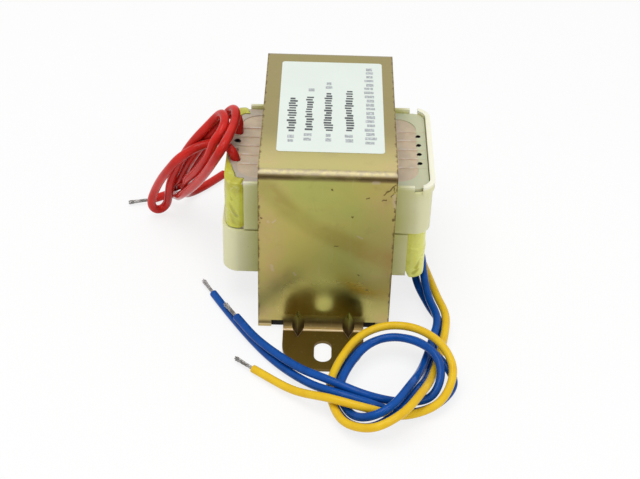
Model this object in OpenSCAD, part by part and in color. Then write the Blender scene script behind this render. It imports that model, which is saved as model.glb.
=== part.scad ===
// Laminated mains transformer in a bent steel frame bracket, with a two-section
// coil former, interlocking covers and flying leads.
// Origin: middle of the core on the mounting plane. X runs through the stack of
// laminations, Y from the front foot to the rear foot, Z up.

/* [Core] */
// Width of an outer limb, which sets the whole scrapless E and I punching
limb_w = 11; // [8:0.5:16]
// Thickness of the stack of laminations
stack_t = 39; // [24:1:60]
// Thickness of one group of sheets laid the same way up
group_t = 3; // [1.5:0.5:6]

/* [Bracket] */
// Thickness of the steel strip
sheet_t = 1; // [0.6:0.1:1.5]
// Outside radius of the two top bends
top_bend_r = 2.4; // [1.2:0.1:2.8]
// Inside radius of the bend between leg and foot
foot_bend_r = 3; // [0.5:0.1:3.6]
// Width of a foot
foot_w = 24; // [20:1:28]
// Reach of a foot beyond the leg's outer face
foot_l = 19.2; // [17:0.2:26]
// Radius of a foot's two corners
foot_corner_r = 10.4; // [4:0.2:11]
// Width of the mounting slot
slot_w = 5.1; // [3.5:0.1:6.5]
// Length of the mounting slot over its round ends
slot_l = 9.2; // [7:0.1:11]
// Distance from the leg's outer face to the middle of the slot
slot_out = 11.5; // [9:0.1:12.5]
// Width of the relief notch beside a foot
relief_w = 3.6; // [1.5:0.1:4.5]
// Height of the relief notch above the mounting plane
relief_h = 2.7; // [2.2:0.1:5]
// Height of the leg's free lower edge above the mounting plane
leg_lift = 0.3; // [0.1:0.1:1]
// Distance between the two pressed gussets of a foot
gusset_pitch = 15; // [11:0.5:17]
// Width of a pressed gusset in the corner
gusset_w = 5.2; // [3:0.1:6]
// Reach of a pressed gusset out on the foot and up on the leg
gusset_reach = 5.6; // [4.8:0.1:6.4]

/* [Coil former] */
// Clearance between the centre limb and the former's tube
core_gap = 0.2; // [0.1:0.05:0.4]
// Wall of the former's tube
tube_wall = 1.2; // [0.8:0.1:1.6]
// Thickness of the upper and the lower flange
flange_t = 1.2; // [0.8:0.1:1.6]
// Thickness of the flange between the two windings
mid_flange_t = 1; // [0.8:0.1:1.4]
// Height of the lower winding space
lower_space = 12.6; // [9:0.2:15]
// Reach of the flanges beyond the end faces of the stack
flange_end = 10.2; // [9:0.1:13]
// Clearance between the flanges and the outer limbs
flange_side_gap = 1.5; // [1.3:0.1:1.7]
// Clearance between the outer flanges and the yokes
yoke_gap = 1.5; // [1.3:0.1:2]
// Distance between neighbouring lead holes
hole_pitch = 4.9; // [4.4:0.1:6]
// Distance from a flange's end to the middle of its lead holes
hole_inset = 2.3; // [1.9:0.1:2.6]
// Clearance of a lead in its hole, on the radius
hole_gap = 0.1; // [0.05:0.05:0.3]
// Diameter of the pilot holes that no lead passes
pilot_d = 1.4; // [0.8:0.1:2.2]
// Width of the ribs between the lead holes
rib_w = 0.6; // [0.4:0.1:1]
// Height of the ribs above the flange
rib_h = 0.1; // [0.1:0.1:1.2]
// Depth of the panel sunk in the flange
panel_depth = 0.2; // [0.2:0.1:0.6]
// Margin of the sunk panel at the flange's end
panel_end = 2.8; // [2:0.1:4]
// Margin of the sunk panel at the flange's sides
panel_side = 3.5; // [2:0.1:5]
// Corner radius of the sunk panel
panel_r = 6; // [3:0.5:6]

/* [Windings] */
// Clearance between a winding and the flanges above and below it
wind_gap = 0.2; // [0.1:0.05:0.3]
// Corner radius of the windings
wind_r = 5; // [3:0.5:6]
// Thickness of the tape round a winding
tape_t = 1.2; // [0.6:0.1:1.6]
// Distance of the tape from the flange's edge
tape_inset = 0.4; // [0.3:0.1:0.8]
// Thickness of the tape's skirt outside a flange's edge
skirt_t = 0.3; // [0.2:0.1:0.5]
// Clearance between the skirt and the flange's edge
skirt_gap = 0.1; // [0.05:0.05:0.2]
// Height of the skirt over the flange's outer face
skirt_over = 0.3; // [0.1:0.1:0.6]
// Clearance between the skirt and the ends of the cover's arms
skirt_clear = 0.4; // [0.2:0.1:1]

/* [Covers] */
// Wall of the two covers
cover_t = 1; // [0.8:0.05:1.05]
// Clearance between a cover and the flanges
cover_gap = 0.25; // [0.15:0.05:0.3]
// Corner radius of a cover's closed end, outside
cover_r = 5; // [4:0.5:7]
// Clearance between a cover's rim and the yoke
rim_gap = 0.3; // [0.2:0.05:0.5]
// Gap between the edges of the two covers
cover_split = 0.6; // [0.4:0.1:0.8]
// Distance of the open end of a cover from the flange's end
arm_short = 5.4; // [4:0.2:8]
// Height of the collar on the primary cover's closed end
collar_h = 2.7; // [1.5:0.1:4]
// Height of the collar's face over the wall
collar_out = 0.5; // [0.3:0.1:0.8]
// Length of the collar along the cover's sides
collar_l = 3.2; // [2.5:0.1:4]
// Width of the notch beside the collar
notch_w = 2.4; // [1.5:0.1:3]
// Depth of the notch beside the collar
notch_h = 2.1; // [1.5:0.1:3]

/* [Label] */
// Width of the label across the strip
label_w = 30.8; // [20:0.2:36]
// Length of the label along the strip
label_l = 50.4; // [30:0.2:56]
// Thickness of the label
label_t = 0.1; // [0.05:0.05:0.3]
// Corner radius of the label
label_r = 1; // [0.5:0.5:3]
// Offset of the label across the strip
label_x = 0.6; // [-1:0.1:1]
// Offset of the label along the strip
label_y = 2.1; // [-3:0.1:3]

/* [Leads] */
// Outer diameter of the blue and the yellow leads
lead_d = 2.4; // [1.6:0.1:2.6]
// Outer diameter of the red leads
red_lead_d = 2.8; // [1.8:0.1:3]
// Diameter of the bare conductor
conductor_d = 0.9; // [0.5:0.1:1.2]
// Length of the bare tips
tip_l = 7; // [4:0.5:9]
// Width of the red hank over its outer turns
hank_w = 12.6; // [9:0.2:12.6]
// Thickness of the red hank
hank_t = 7.2; // [4:0.2:7.6]

/* [Hidden] */
$fn = 64;

// Overlap that lets a cut pass clear through a face
cut = 1;
// Sides of a swept lead
lead_sides = 8;

// Core, all from the limb's width
core_w = 6 * limb_w;
core_h = 5 * limb_w;
centre_w = 2 * limb_w;
window_top = core_h - limb_w;
group_count = round(stack_t / group_t);
group_step = stack_t / group_count;
half_stack = stack_t / 2;

// Bracket
leg_y = core_w / 2 + sheet_t;
strap_top = core_h + sheet_t;
bend_z = foot_bend_r + sheet_t;
bend_lap = sheet_t;
slot_y = leg_y + slot_out;
strap_r = min(top_bend_r, 3 * sheet_t);
foot_r = min(foot_corner_r, 0.48 * foot_w);
ridge_h = gusset_reach / sqrt(2);
flank = gusset_w / 2 / ridge_h;

// Coil former
tube_in = [half_stack + core_gap, centre_w / 2 + core_gap];
tube_out = [tube_in.x + tube_wall, tube_in.y + tube_wall];
flange = [half_stack + flange_end, centre_w / 2 + limb_w - flange_side_gap];
flange_lo = limb_w + yoke_gap;
flange_hi = window_top - yoke_gap;
mid_lo = flange_lo + flange_t + lower_space;
mid_hi = mid_lo + mid_flange_t;
hole_x = flange.x - hole_inset;
hole_d = max(lead_d, red_lead_d) + 2 * hole_gap;
hole_ys = [for (k = [-1.5:1:1.5]) k * hole_pitch];

// Windings and their tape
tape = [flange.x - tape_inset, flange.y - tape_inset];
winding = [tape.x - tape_t, tape.y - tape_t];
skirt_in = [flange.x + skirt_gap, flange.y + skirt_gap];
skirt = [skirt_in.x + skirt_t, skirt_in.y + skirt_t];
secondary_lo = flange_lo + flange_t + wind_gap;
secondary_hi = mid_lo - wind_gap;
primary_lo = mid_hi + wind_gap;
primary_hi = flange_hi - flange_t - wind_gap;

// Covers
cover_in = [flange.x + cover_gap, flange.y + cover_gap];
cover_out = [cover_in.x + cover_t, cover_in.y + cover_t];
cover_in_r = cover_r - cover_t;
flange_r = cover_in_r - cover_gap;
cover_mid = (mid_lo + mid_hi) / 2;
rim_lo = limb_w + rim_gap;
rim_hi = window_top - rim_gap;
arm_x = flange.x - arm_short;
skirt_x = arm_x + skirt_clear;
skirt_in_r = flange_r + skirt_gap;
collar_x = cover_out.x - collar_l;

// Routes of the secondary leads: out of their holes in the lower flange at the
// right end, forward beside the front foot, once round in an overhand knot and
// off to the left, all three side by side
hole_drop = 2.9;
function below(y) = [[hole_x, y, secondary_lo], [hole_x, y, secondary_lo - hole_drop]];
yellow_route = concat(below(hole_ys[2]), [
    [28.5, 0.5, 6.5], [31, -4, 4], [36, -22, 3.6], [37, -32, 3.8], [32, -56, 3.8],
    [27.5, -70, 8.6], [21.5, -79, 8.8], [14, -82, 6.4], [6, -77.5, 3.8], [2, -69, 3.5],
    [2, -60.5, 4], [10.5, -45, 6.5], [18.5, -41.5, 8], [27, -43.5, 9], [34, -50.5, 9.2],
    [37, -59, 7], [33, -68.5, 3.8], [22.5, -74, 3.5], [13, -74.2, 6], [2, -71, 6.5],
    [-8, -64.5, 3], [-20, -54.5, 1.6]]);
blue_front_route = concat(below(hole_ys[1]), [
    [30.2, -6, 9.5], [30.2, -15.5, 8], [34, -33, 4.2], [32, -42.5, 3.7], [29, -53.5, 3.8],
    [24.5, -67, 8.6], [18.5, -76.5, 8.8], [13, -78, 6.6], [8.5, -74.5, 3.8], [5.5, -68, 3.5],
    [5.5, -61, 4], [12.5, -49, 6.5], [19, -46.5, 8], [26.5, -49, 9], [32, -54.5, 9],
    [33.5, -60.5, 6.6], [30.5, -66.5, 3.6], [22.5, -68.5, 3.5], [13, -68.8, 5.8],
    [1.5, -63.5, 6.6], [-16, -45.5, 3.8], [-26, -34, 3.9]]);
blue_rear_route = concat(below(hole_ys[0]), [
    [27.6, -15.5, 5.5], [31, -25, 2.8], [35.3, -33, 1.4], [30.5, -54.5, 1.4],
    [26.2, -67, 6.2], [20, -77.5, 6.2], [13.5, -80.3, 3.6], [7.3, -76, 1.4], [3.7, -68.5, 1.3],
    [3.7, -60.5, 1.6], [11.5, -47, 4.1], [18.7, -44, 5.6], [27, -46, 6.5], [33, -52.5, 6.4],
    [37.5, -60, 3.4], [32, -67.5, 1.3], [22.5, -71.3, 1.3], [13, -71.5, 5.6],
    [1.5, -67.3, 6.6], [-15.5, -50, 2], [-25, -36.5, 1.4], [-34, -20, 1.3]]);

// The red hank leans against nothing: its upper end stands beside the upper
// flange at the left end and its lower end lies near the mounting plane
hank_top = [-35.5, 8, 47.6];
hank_foot = [-52, 20.6, 8.4];
hank_mid = (hank_top + hank_foot) / 2;
hank_run = norm(hank_foot - hank_top);
hank_dir = unit(hank_foot - hank_top);
hank_tilt = atan2(hank_dir.z, hank_dir.y);
hank_turn = acos(hank_dir.x);
hank_n = [0, -sin(hank_tilt), cos(hank_tilt)];
hank_across = cross(hank_n, hank_dir);
hank_stub = 3;

// A point on the hank's front (-1) or rear (1) face, u along it and v across it
function on_hank(u, v, face) =
    hank_mid + u * hank_dir + v * hank_across + face * hank_t / 2 * hank_n;
function into_hank(p) = [p - hank_stub * hank_n, p];
function out_of_hank(p) = [p, p + hank_stub * hank_n];
function above(y) = [[-hole_x, y, primary_hi], [-hole_x, y, primary_hi + hole_drop]];
red_front_route = concat(above(hole_ys[0]), [[-31.5, -3.5, 46.5]], into_hank(on_hank(-13, -2, -1)));
red_rear_route = concat(above(hole_ys[3]), [[-27.4, 3.4, 47], [-30.6, 0.4, 47]],
    into_hank(on_hank(-22, -1, -1)));
red_left_route = concat(out_of_hank(on_hank(23, 0, 1)),
    [[-53.5, 29.5, 5], [-55.5, 30.3, 2.2], [-59, 29.2, 1.7]]);
red_right_route = concat(out_of_hank(on_hank(18, -3, 1)),
    [[-46, 31, 6], [-41.6, 37.3, 1.8], [-36, 44, 1.6]]);

// Sweep of a round lead: a ring of points at each point of its route, each
// ring square to the mean of the two stretches that meet there
function unit(v) = v / norm(v);
function headings(p) =
    [for (i = [0:len(p) - 1]) unit(p[min(i + 1, len(p) - 1)] - p[max(i - 1, 0)])];
function square_to(n, t) = unit(n - (n * t) * t);
function sides_of(t) =
    [for (i = 0, n = square_to([1, 0.2, 0.1], t[0]);
          i < len(t);
          i = i + 1, n = square_to(n, t[min(i, len(t) - 1)])) n];
function ring(c, t, n, d) =
    [for (k = [0:lead_sides - 1])
        let (a = 360 * k / lead_sides) c + d / 2 * (cos(a) * n + sin(a) * cross(t, n))];

module lead(route, d) {
    t = headings(route);
    n = sides_of(t);
    last = len(route) - 1;
    points = [for (i = [0:last]) each ring(route[i], t[i], n[i], d)];
    skin = [for (i = [0:last - 1])
        for (k = [0:lead_sides - 1])
            let (m = (k + 1) % lead_sides, a = i * lead_sides, b = a + lead_sides)
                each [[a + k, b + k, b + m], [a + k, b + m, a + m]]];
    first_cap = [for (k = [0:lead_sides - 1]) k];
    last_cap = [for (k = [lead_sides - 1:-1:0]) last * lead_sides + k];
    polyhedron(points, concat([first_cap], skin, [last_cap]), convexity = 10);
}

// Bare conductor that runs straight on from the end of a route
module tip(route) {
    last = len(route) - 1;
    d = unit(route[last] - route[last - 1]);
    translate(route[last])
        rotate([0, acos(d.z), atan2(d.y, d.x)])
            cylinder(d = conductor_d, h = tip_l);
}

// Rectangle about the origin with round corners, from its half sizes
module rounded(half, r) {
    square([2 * half.x, 2 * (half.y - r)], center = true);
    square([2 * (half.x - r), 2 * half.y], center = true);
    for (sx = [-1, 1], sy = [-1, 1])
        translate([sx * (half.x - r), sy * (half.y - r)])
            circle(r);
}

// Slot with full round ends, its length along Y
module slot(w, l) {
    square([w, l - w], center = true);
    for (s = [-1, 1])
        translate([0, s * (l - w) / 2])
            circle(d = w);
}

// Box from its low and high corner
module box(lo, hi) {
    translate(lo)
        cube(hi - lo);
}

// A box and its three mirror images about the planes X = 0 and Y = 0
module four_boxes(lo, hi) {
    mid = (lo + hi) / 2;
    for (sx = [-1, 1], sy = [-1, 1])
        translate([sx * mid.x, sy * mid.y, mid.z])
            cube(hi - lo, center = true);
}

// Upright wall between an outer and an inner rounded rectangle
module band(outer, outer_r, inner, inner_r, lo, hi) {
    translate([0, 0, lo])
        linear_extrude(hi - lo)
            difference() {
                rounded(outer, outer_r);
                rounded(inner, inner_r);
            }
}

// Section of the strap in Y and Z: a top and two legs round the square core
module strap_section() {
    flat = leg_y - strap_r;
    difference() {
        union() {
            translate([-leg_y, bend_z])
                square([2 * leg_y, strap_top - strap_r - bend_z]);
            translate([-flat, bend_z])
                square([2 * flat, strap_top - bend_z]);
            for (s = [-1, 1])
                translate([s * flat, strap_top - strap_r])
                    circle(strap_r);
        }
        translate([-core_w / 2, bend_z - cut])
            square([core_w, core_h - bend_z + cut]);
    }
}

// Plan of a foot: tongue with two rounded corners, from the end of the bend
module foot_plan() {
    start = leg_y + foot_bend_r;
    end = leg_y + foot_l;
    flat = foot_w / 2 - foot_r;
    intersection() {
        translate([-foot_w / 2, -end])
            square([foot_w, end - start]);
        union() {
            translate([-foot_w / 2, -end + foot_r])
                square([foot_w, end - start]);
            translate([-flat, -end])
                square([2 * flat, end - start]);
            for (s = [-1, 1])
                translate([s * flat, -end + foot_r])
                    circle(foot_r);
        }
    }
}

// Quarter bend that carries the strip from the leg into the foot, lapping a
// little over both flats
module foot_bend() {
    translate([0, -leg_y - foot_bend_r, bend_z])
        rotate([90, 0, 90])
            linear_extrude(foot_w, center = true) {
                difference() {
                    intersection() {
                        circle(bend_z);
                        translate([0, -bend_z])
                            square(bend_z);
                    }
                    circle(foot_bend_r);
                }
                translate([foot_bend_r, 0])
                    square([sheet_t, bend_lap]);
                translate([-bend_lap, -bend_z])
                    square([bend_lap, sheet_t]);
            }
}

// Two wedges with their ridges at 45 degrees across the corner of leg and foot,
// the given height above it
module gusset_wedges(rise) {
    half = flank * (rise + bend_z);
    for (s = [-1, 1])
        translate([s * gusset_pitch / 2, -leg_y, sheet_t])
            rotate([-45, 0, 0])
                linear_extrude(4 * gusset_reach, center = true)
                    polygon([[-half, bend_z], [half, bend_z], [0, -rise]]);
}

// Front foot with its slot and its pressed gussets
module foot() {
    difference() {
        union() {
            foot_bend();
            difference() {
                linear_extrude(sheet_t)
                    foot_plan();
                translate([0, -slot_y, -cut])
                    linear_extrude(sheet_t + 2 * cut)
                        slot(slot_w, slot_l);
            }
            intersection() {
                gusset_wedges(ridge_h);
                box([-foot_w / 2, -leg_y - foot_l, sheet_t / 2],
                    [foot_w / 2, -leg_y + sheet_t / 2, strap_top / 2]);
            }
        }
        gusset_wedges(ridge_h - sheet_t);
    }
}

module frame_bracket() {
    relief_x = foot_w / 2 + relief_w;
    color("darkkhaki")
        union() {
            difference() {
                union() {
                    rotate([90, 0, 90])
                        linear_extrude(stack_t, center = true)
                            strap_section();
                    four_boxes([relief_x, core_w / 2, leg_lift], [half_stack, leg_y, bend_z + bend_lap]);
                    four_boxes([foot_w / 2, core_w / 2, relief_h], [half_stack, leg_y, bend_z + bend_lap]);
                }
                four_boxes([foot_w / 2, core_w / 2 - cut, 0], [relief_x, leg_y + cut, relief_h]);
                for (a = [0, 180])
                    rotate(a)
                        gusset_wedges(ridge_h - sheet_t);
            }
            for (a = [0, 180])
                rotate(a)
                    foot();
        }
}

// Yoke bar of one group of sheets, at the bottom or at the top of the core
module yoke_bar(k, up) {
    x = -half_stack + k * group_step;
    z = up ? window_top : 0;
    box([x, -core_w / 2, z], [x + group_step, core_w / 2, z + limb_w]);
}

// Even groups have the E's back at the bottom, odd groups have it at the top
module e_laminations() {
    color("dimgray")
        union() {
            for (y = [-core_w / 2, -centre_w / 2, core_w / 2 - limb_w])
                box([-half_stack, y, limb_w],
                    [half_stack, y + (y == -centre_w / 2 ? centre_w : limb_w), window_top]);
            for (k = [0:group_count - 1])
                yoke_bar(k, k % 2 == 1);
        }
}

module i_laminations() {
    color("gray")
        for (k = [0:group_count - 1])
            yoke_bar(k, k % 2 == 0);
}

// One flange of the former between two heights
module flange_plate(lo, hi) {
    band(flange, flange_r, tube_in, core_gap, lo, hi);
}

// Row of holes through a flange at both ends: full size where a lead passes at
// the given end and places, pilots elsewhere
module lead_holes(lo, hi, end, used) {
    for (s = [-1, 1], k = [0:3])
        translate([s * hole_x, hole_ys[k], lo - cut])
            cylinder(d = s == end && len(search(k, used)) > 0 ? hole_d : pilot_d, h = hi - lo + 2 * cut);
}

// Panels sunk in a flange's outer face, at both ends of the core
module sunk_panels(z) {
    difference() {
        translate([0, 0, z - panel_depth])
            linear_extrude(2 * panel_depth)
                rounded([flange.x - panel_end, flange.y - panel_side], panel_r);
        box([-half_stack, -flange.y, z - cut], [half_stack, flange.y, z + cut]);
    }
}

// Ribs between the lead holes, standing in the sunk panels at both ends
module lead_ribs(lo, hi) {
    for (s = [-1, 1], k = [-2:2])
        translate([s * (half_stack + core_gap + flange.x) / 2, k * hole_pitch, (lo + hi) / 2])
            cube([flange.x - half_stack - 2 * core_gap, rib_w, hi - lo], center = true);
}

module bobbin() {
    top = [flange_hi - flange_t, flange_hi];
    low = [flange_lo, flange_lo + flange_t];
    color("wheat")
        difference() {
            union() {
                band(tube_out, tube_wall + core_gap, tube_in, core_gap, flange_lo, flange_hi);
                flange_plate(mid_lo, mid_hi);
                difference() {
                    flange_plate(top[0], top[1]);
                    sunk_panels(top[1]);
                }
                difference() {
                    flange_plate(low[0], low[1]);
                    sunk_panels(low[0]);
                }
                lead_ribs(flange_hi - flange_t / 2, flange_hi + rib_h);
                lead_ribs(flange_lo - rib_h, flange_lo + flange_t / 2);
            }
            lead_holes(top[0], top[1] + rib_h, -1, [0, 3]);
            lead_holes(low[0] - rib_h, low[1], 1, [0, 1, 2]);
        }
}

module primary_winding() {
    color("peru")
        band(winding, wind_r, tube_out, tube_wall + core_gap, primary_lo, primary_hi);
}

module secondary_winding() {
    color("peru")
        band(winding, wind_r, tube_out, tube_wall + core_gap, secondary_lo, secondary_hi);
}

// Tape round a winding, its left end lapped up over the edge of the flange above
module lapped_tape(lo, hi, edge) {
    band(tape, wind_r + tape_t, winding, wind_r, lo, hi);
    difference() {
        union() {
            band(skirt, skirt_in_r + skirt_t, winding, wind_r, lo, hi);
            band(skirt, skirt_in_r + skirt_t, skirt_in, skirt_in_r, hi - cut, edge + skirt_over);
        }
        box([-skirt_x, -skirt.y - cut, lo - cut], [skirt.x + cut, skirt.y + cut, edge + cut]);
    }
}

module primary_tape() {
    color("yellowgreen")
        lapped_tape(primary_lo, primary_hi, flange_hi);
}

// The secondary tape laps down over the edge of the flange below, at the right end
module secondary_tape() {
    color("yellowgreen")
        rotate([180, 0, 180])
            lapped_tape(-secondary_hi, -secondary_lo, -flange_lo);
}

// Channel that wraps the right end of the coil, with arms past the core
module cover_wall(lo, hi) {
    difference() {
        band(cover_out, cover_r, cover_in, cover_in_r, lo, hi);
        box([-cover_out.x - cut, -cover_out.y - cut, lo - cut], [-arm_x, cover_out.y + cut, hi + cut]);
    }
}

module primary_cover() {
    collar = [cover_out.x + collar_out, cover_out.y + collar_out];
    color("beige")
        difference() {
            union() {
                cover_wall(cover_mid + cover_split / 2, rim_hi);
                difference() {
                    band(collar, cover_r + collar_out, cover_in, cover_in_r, rim_hi - collar_h, rim_hi);
                    box([-collar.x - cut, -collar.y - cut, 0], [collar_x, collar.y + cut, core_h]);
                }
            }
            for (s = [-1, 1])
                translate([collar_x - notch_w / 2, s * (cover_in.y + cover_t / 2), rim_hi])
                    cube([notch_w, cover_t + cut, 2 * notch_h], center = true);
        }
}

module secondary_cover() {
    color("beige")
        rotate(180)
            cover_wall(rim_lo, cover_mid - cover_split / 2);
}

module rating_label() {
    color("whitesmoke")
        translate([label_x, label_y, strap_top])
            linear_extrude(label_t)
                rounded([label_w / 2, label_l / 2], label_r);
}

module red_hank() {
    color("firebrick")
        translate(hank_mid)
            rotate([hank_tilt, 0, 0])
                rotate(hank_turn - 90)
                    linear_extrude(hank_t, center = true)
                        slot(hank_w, hank_run + hank_w);
}

module red_lead_front() {
    color("firebrick")
        lead(red_front_route, red_lead_d);
}

module red_lead_rear() {
    color("firebrick")
        lead(red_rear_route, red_lead_d);
}

module red_tail_left() {
    color("firebrick")
        lead(red_left_route, red_lead_d);
}

module red_tail_right() {
    color("firebrick")
        lead(red_right_route, red_lead_d);
}

module red_tip_left() {
    color("silver")
        tip(red_left_route);
}

module red_tip_right() {
    color("silver")
        tip(red_right_route);
}

module blue_lead_front() {
    color("royalblue")
        lead(blue_front_route, lead_d);
}

module blue_lead_rear() {
    color("royalblue")
        lead(blue_rear_route, lead_d);
}

module yellow_lead() {
    color("gold")
        lead(yellow_route, lead_d);
}

module blue_tip_front() {
    color("silver")
        tip(blue_front_route);
}

module blue_tip_rear() {
    color("silver")
        tip(blue_rear_route);
}

module yellow_tip() {
    color("silver")
        tip(yellow_route);
}

frame_bracket();
e_laminations();
i_laminations();
bobbin();
primary_winding();
secondary_winding();
primary_tape();
secondary_tape();
primary_cover();
secondary_cover();
rating_label();
red_lead_front();
red_lead_rear();
red_hank();
red_tail_left();
red_tail_right();
red_tip_left();
red_tip_right();
blue_lead_front();
blue_lead_rear();
yellow_lead();
blue_tip_front();
blue_tip_rear();
yellow_tip();
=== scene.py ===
"""Laminated transformer with flying leads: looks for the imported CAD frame, laid out as an add-on."""
import math

import bpy
import numpy as np
from bpy.props import FloatProperty, FloatVectorProperty, IntProperty, PointerProperty
from mathutils import Matrix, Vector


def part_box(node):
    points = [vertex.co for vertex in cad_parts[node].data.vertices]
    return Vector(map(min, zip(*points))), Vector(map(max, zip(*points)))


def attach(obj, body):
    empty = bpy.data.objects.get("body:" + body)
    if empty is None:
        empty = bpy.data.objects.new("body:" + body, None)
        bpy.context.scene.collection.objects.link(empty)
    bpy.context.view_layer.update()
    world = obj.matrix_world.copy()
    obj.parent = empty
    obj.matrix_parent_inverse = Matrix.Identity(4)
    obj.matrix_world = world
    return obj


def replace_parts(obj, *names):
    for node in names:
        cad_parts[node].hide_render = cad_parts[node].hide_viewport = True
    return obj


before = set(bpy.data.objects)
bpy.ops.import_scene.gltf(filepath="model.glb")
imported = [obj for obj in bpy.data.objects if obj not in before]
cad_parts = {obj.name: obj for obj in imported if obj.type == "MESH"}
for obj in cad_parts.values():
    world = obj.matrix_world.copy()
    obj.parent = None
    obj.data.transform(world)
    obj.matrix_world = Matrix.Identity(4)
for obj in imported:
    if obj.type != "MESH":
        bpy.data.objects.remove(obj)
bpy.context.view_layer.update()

bl_info = {
    "name": "Laminated transformer",
    "version": (1, 0, 0),
    "blender": (4, 5, 0),
    "location": "3D View > Sidebar > Transformer",
    "description": "Dresses a strap-mounted laminated transformer with leads, tapes, covers and a label",
    "category": "Object",
}

MM = 0.001


def box_mm(node):
    """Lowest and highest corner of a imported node's box, in millimetres."""
    return np.round(np.array(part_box(node)) / MM, 4)


# Sizes from the frame: half the stack, half the core's depth, the core's height, the bracket's thickness and
# the y of its front face in metres. Half a foot's width at its bend goes with them.
HALF_STACK, HALF_DEPTH, TOP = box_mm("e_laminations")[1]
STEEL = box_mm("frame_bracket")[1][2] - TOP
FRONT, FOOT_HALF = -(HALF_DEPTH + STEEL) * MM, 12.8

# Lead routes in millimetres, from the flange hole to the end of the insulation.
RED_FRONT_ROUTE = (
    (-27.4, -7.35, 41.1), (-27.4, -7.45, 42.8), (-27.9, -7.7, 44.5), (-29.2, -6.5, 45.7), (-30.8, -3, 45.2),
    (-32.3, 1.4, 43.1), (-34.4, 6.2, 39.7), (-36.8, 8.8, 37.5), (-38.8, 8.2, 37.2), (-40.6, 7.3, 36.8),
    (-42.6, 6.6, 35.7), (-45.9, 6.6, 32.9), (-49.4, 8.6, 27.3), (-52.7, 12.6, 20.4), (-55.5, 16.6, 13),
    (-57.1, 18.6, 7.6), (-57.1, 19.6, 4.4), (-55.9, 20.4, 2.6), (-54, 21.6, 2.2), (-52.4, 22.2, 4),
    (-51.4, 20.6, 8), (-50.2, 18.9, 13), (-48.6, 16.4, 19.5), (-46.2, 13.2, 26), (-44, 10.8, 31.4),
    (-41.7, 10, 35.4), (-39.3, 9.5, 38.8), (-37, 9.6, 41.4), (-35, 9.6, 43.8), (-33.4, 9.2, 46.2),
    (-32, 7.8, 48.3), (-31, 5.8, 49.3), (-30.1, 3.2, 49.3), (-30, 0, 48.3), (-31, -1.9, 46.3),
    (-32.3, -2.4, 44.2), (-34.2, -2, 40.9), (-37.1, 0, 35.9), (-40.4, 4, 29.5), (-43.8, 8.8, 23),
    (-45.5, 13.4, 17), (-46.8, 18, 12.4), (-47, 21.8, 9), (-47.4, 25.8, 6), (-46.9, 29.4, 3),
    (-44.8, 32.8, 1.6), (-41, 36.8, 1.5), (-35.2, 44, 1.5))
RED_REAR_ROUTE = (
    (-27.4, 7.35, 41.1), (-27.4, 7.5, 43.2), (-27.3, 8.5, 45), (-27.9, 10.6, 45.9), (-29.4, 12.6, 45.6),
    (-31.6, 14, 43.8), (-33.4, 15, 40.6), (-35.8, 15.4, 36.8), (-37.8, 16.4, 31.8), (-40.8, 18.4, 25.6),
    (-43.8, 20.8, 19.4), (-45.6, 23.4, 14.6), (-46.6, 25.4, 11), (-48, 25.6, 8.8), (-50.2, 23.6, 8.8),
    (-50.2, 20.6, 12.4), (-47.6, 17.1, 17.5), (-45.6, 14.9, 23), (-43.2, 11.9, 29), (-40.5, 10, 34.3),
    (-37.9, 9.5, 38.2), (-35.5, 9.6, 41.4), (-33.2, 10.2, 44.2), (-31.3, 10.8, 46.7), (-29.9, 10.3, 48.6),
    (-28.9, 8.5, 49.8), (-28.3, 5.4, 50.1), (-28.7, 1.5, 49.3), (-29.5, -3.4, 48.8), (-30.5, -7.9, 48.4),
    (-31.6, -10.1, 47), (-33.7, -8.6, 42.5), (-36.5, -3.9, 35.2), (-39.4, 1.2, 28.4), (-42.5, 6.6, 22),
    (-45.4, 12.2, 16.4), (-47.3, 18.4, 11.2), (-48.4, 22.6, 7.6), (-50.4, 26.2, 5.4), (-53.4, 28, 3.6),
    (-56.2, 28, 2.1), (-59, 27.4, 1.6))
YELLOW_ROUTE = (
    (27.4, 2.45, 13.9), (27.4, 2.45, 11), (28.5, 0.5, 6.5), (30.4, -4, 4.2), (34.4, -22, 4.1),
    (36.7, -32, 3.8), (32, -56, 3.8), (27.5, -70, 8.6), (21.5, -79, 8.8), (14, -82, 6.4), (6.4, -77.5, 3.8),
    (2.8, -69.2, 3.7), (2.6, -60.5, 4.1), (10.5, -45, 6.5), (18.5, -41.5, 8), (27, -43.5, 9), (34, -50.5, 9.2),
    (37, -59, 7), (33, -68.5, 3.8), (22.5, -74, 3.5), (13, -74.2, 6), (2, -71, 6.5), (-8, -64.5, 3),
    (-20, -54.5, 1.6))
BLUE_FRONT_ROUTE = (
    (27.4, -2.45, 13.9), (27.5, -2.7, 11.6), (28.9, -4.4, 9.8), (30.1, -9, 8.9), (30.4, -15.5, 7.9),
    (31.7, -25, 5.7), (34, -33, 4.2), (32, -42.5, 3.7), (29, -53.5, 3.8), (24.5, -67, 8.6),
    (18.5, -76.5, 8.8), (13, -78, 6.6), (8.5, -74.5, 3.8), (5.5, -68, 3.5), (5.5, -61, 4), (12.5, -49, 6.5),
    (19, -46.5, 8), (26.5, -49, 9), (32, -54.5, 9), (33.5, -60.5, 6.6), (30.5, -66.5, 3.6), (22.5, -68.5, 3.5),
    (13, -68.8, 5.8), (1.2, -63.4, 6.6), (-6.3, -58.1, 5.5), (-13.4, -50.9, 4.4), (-19.9, -43.4, 3.9),
    (-26, -34.3, 3.9))
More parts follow.
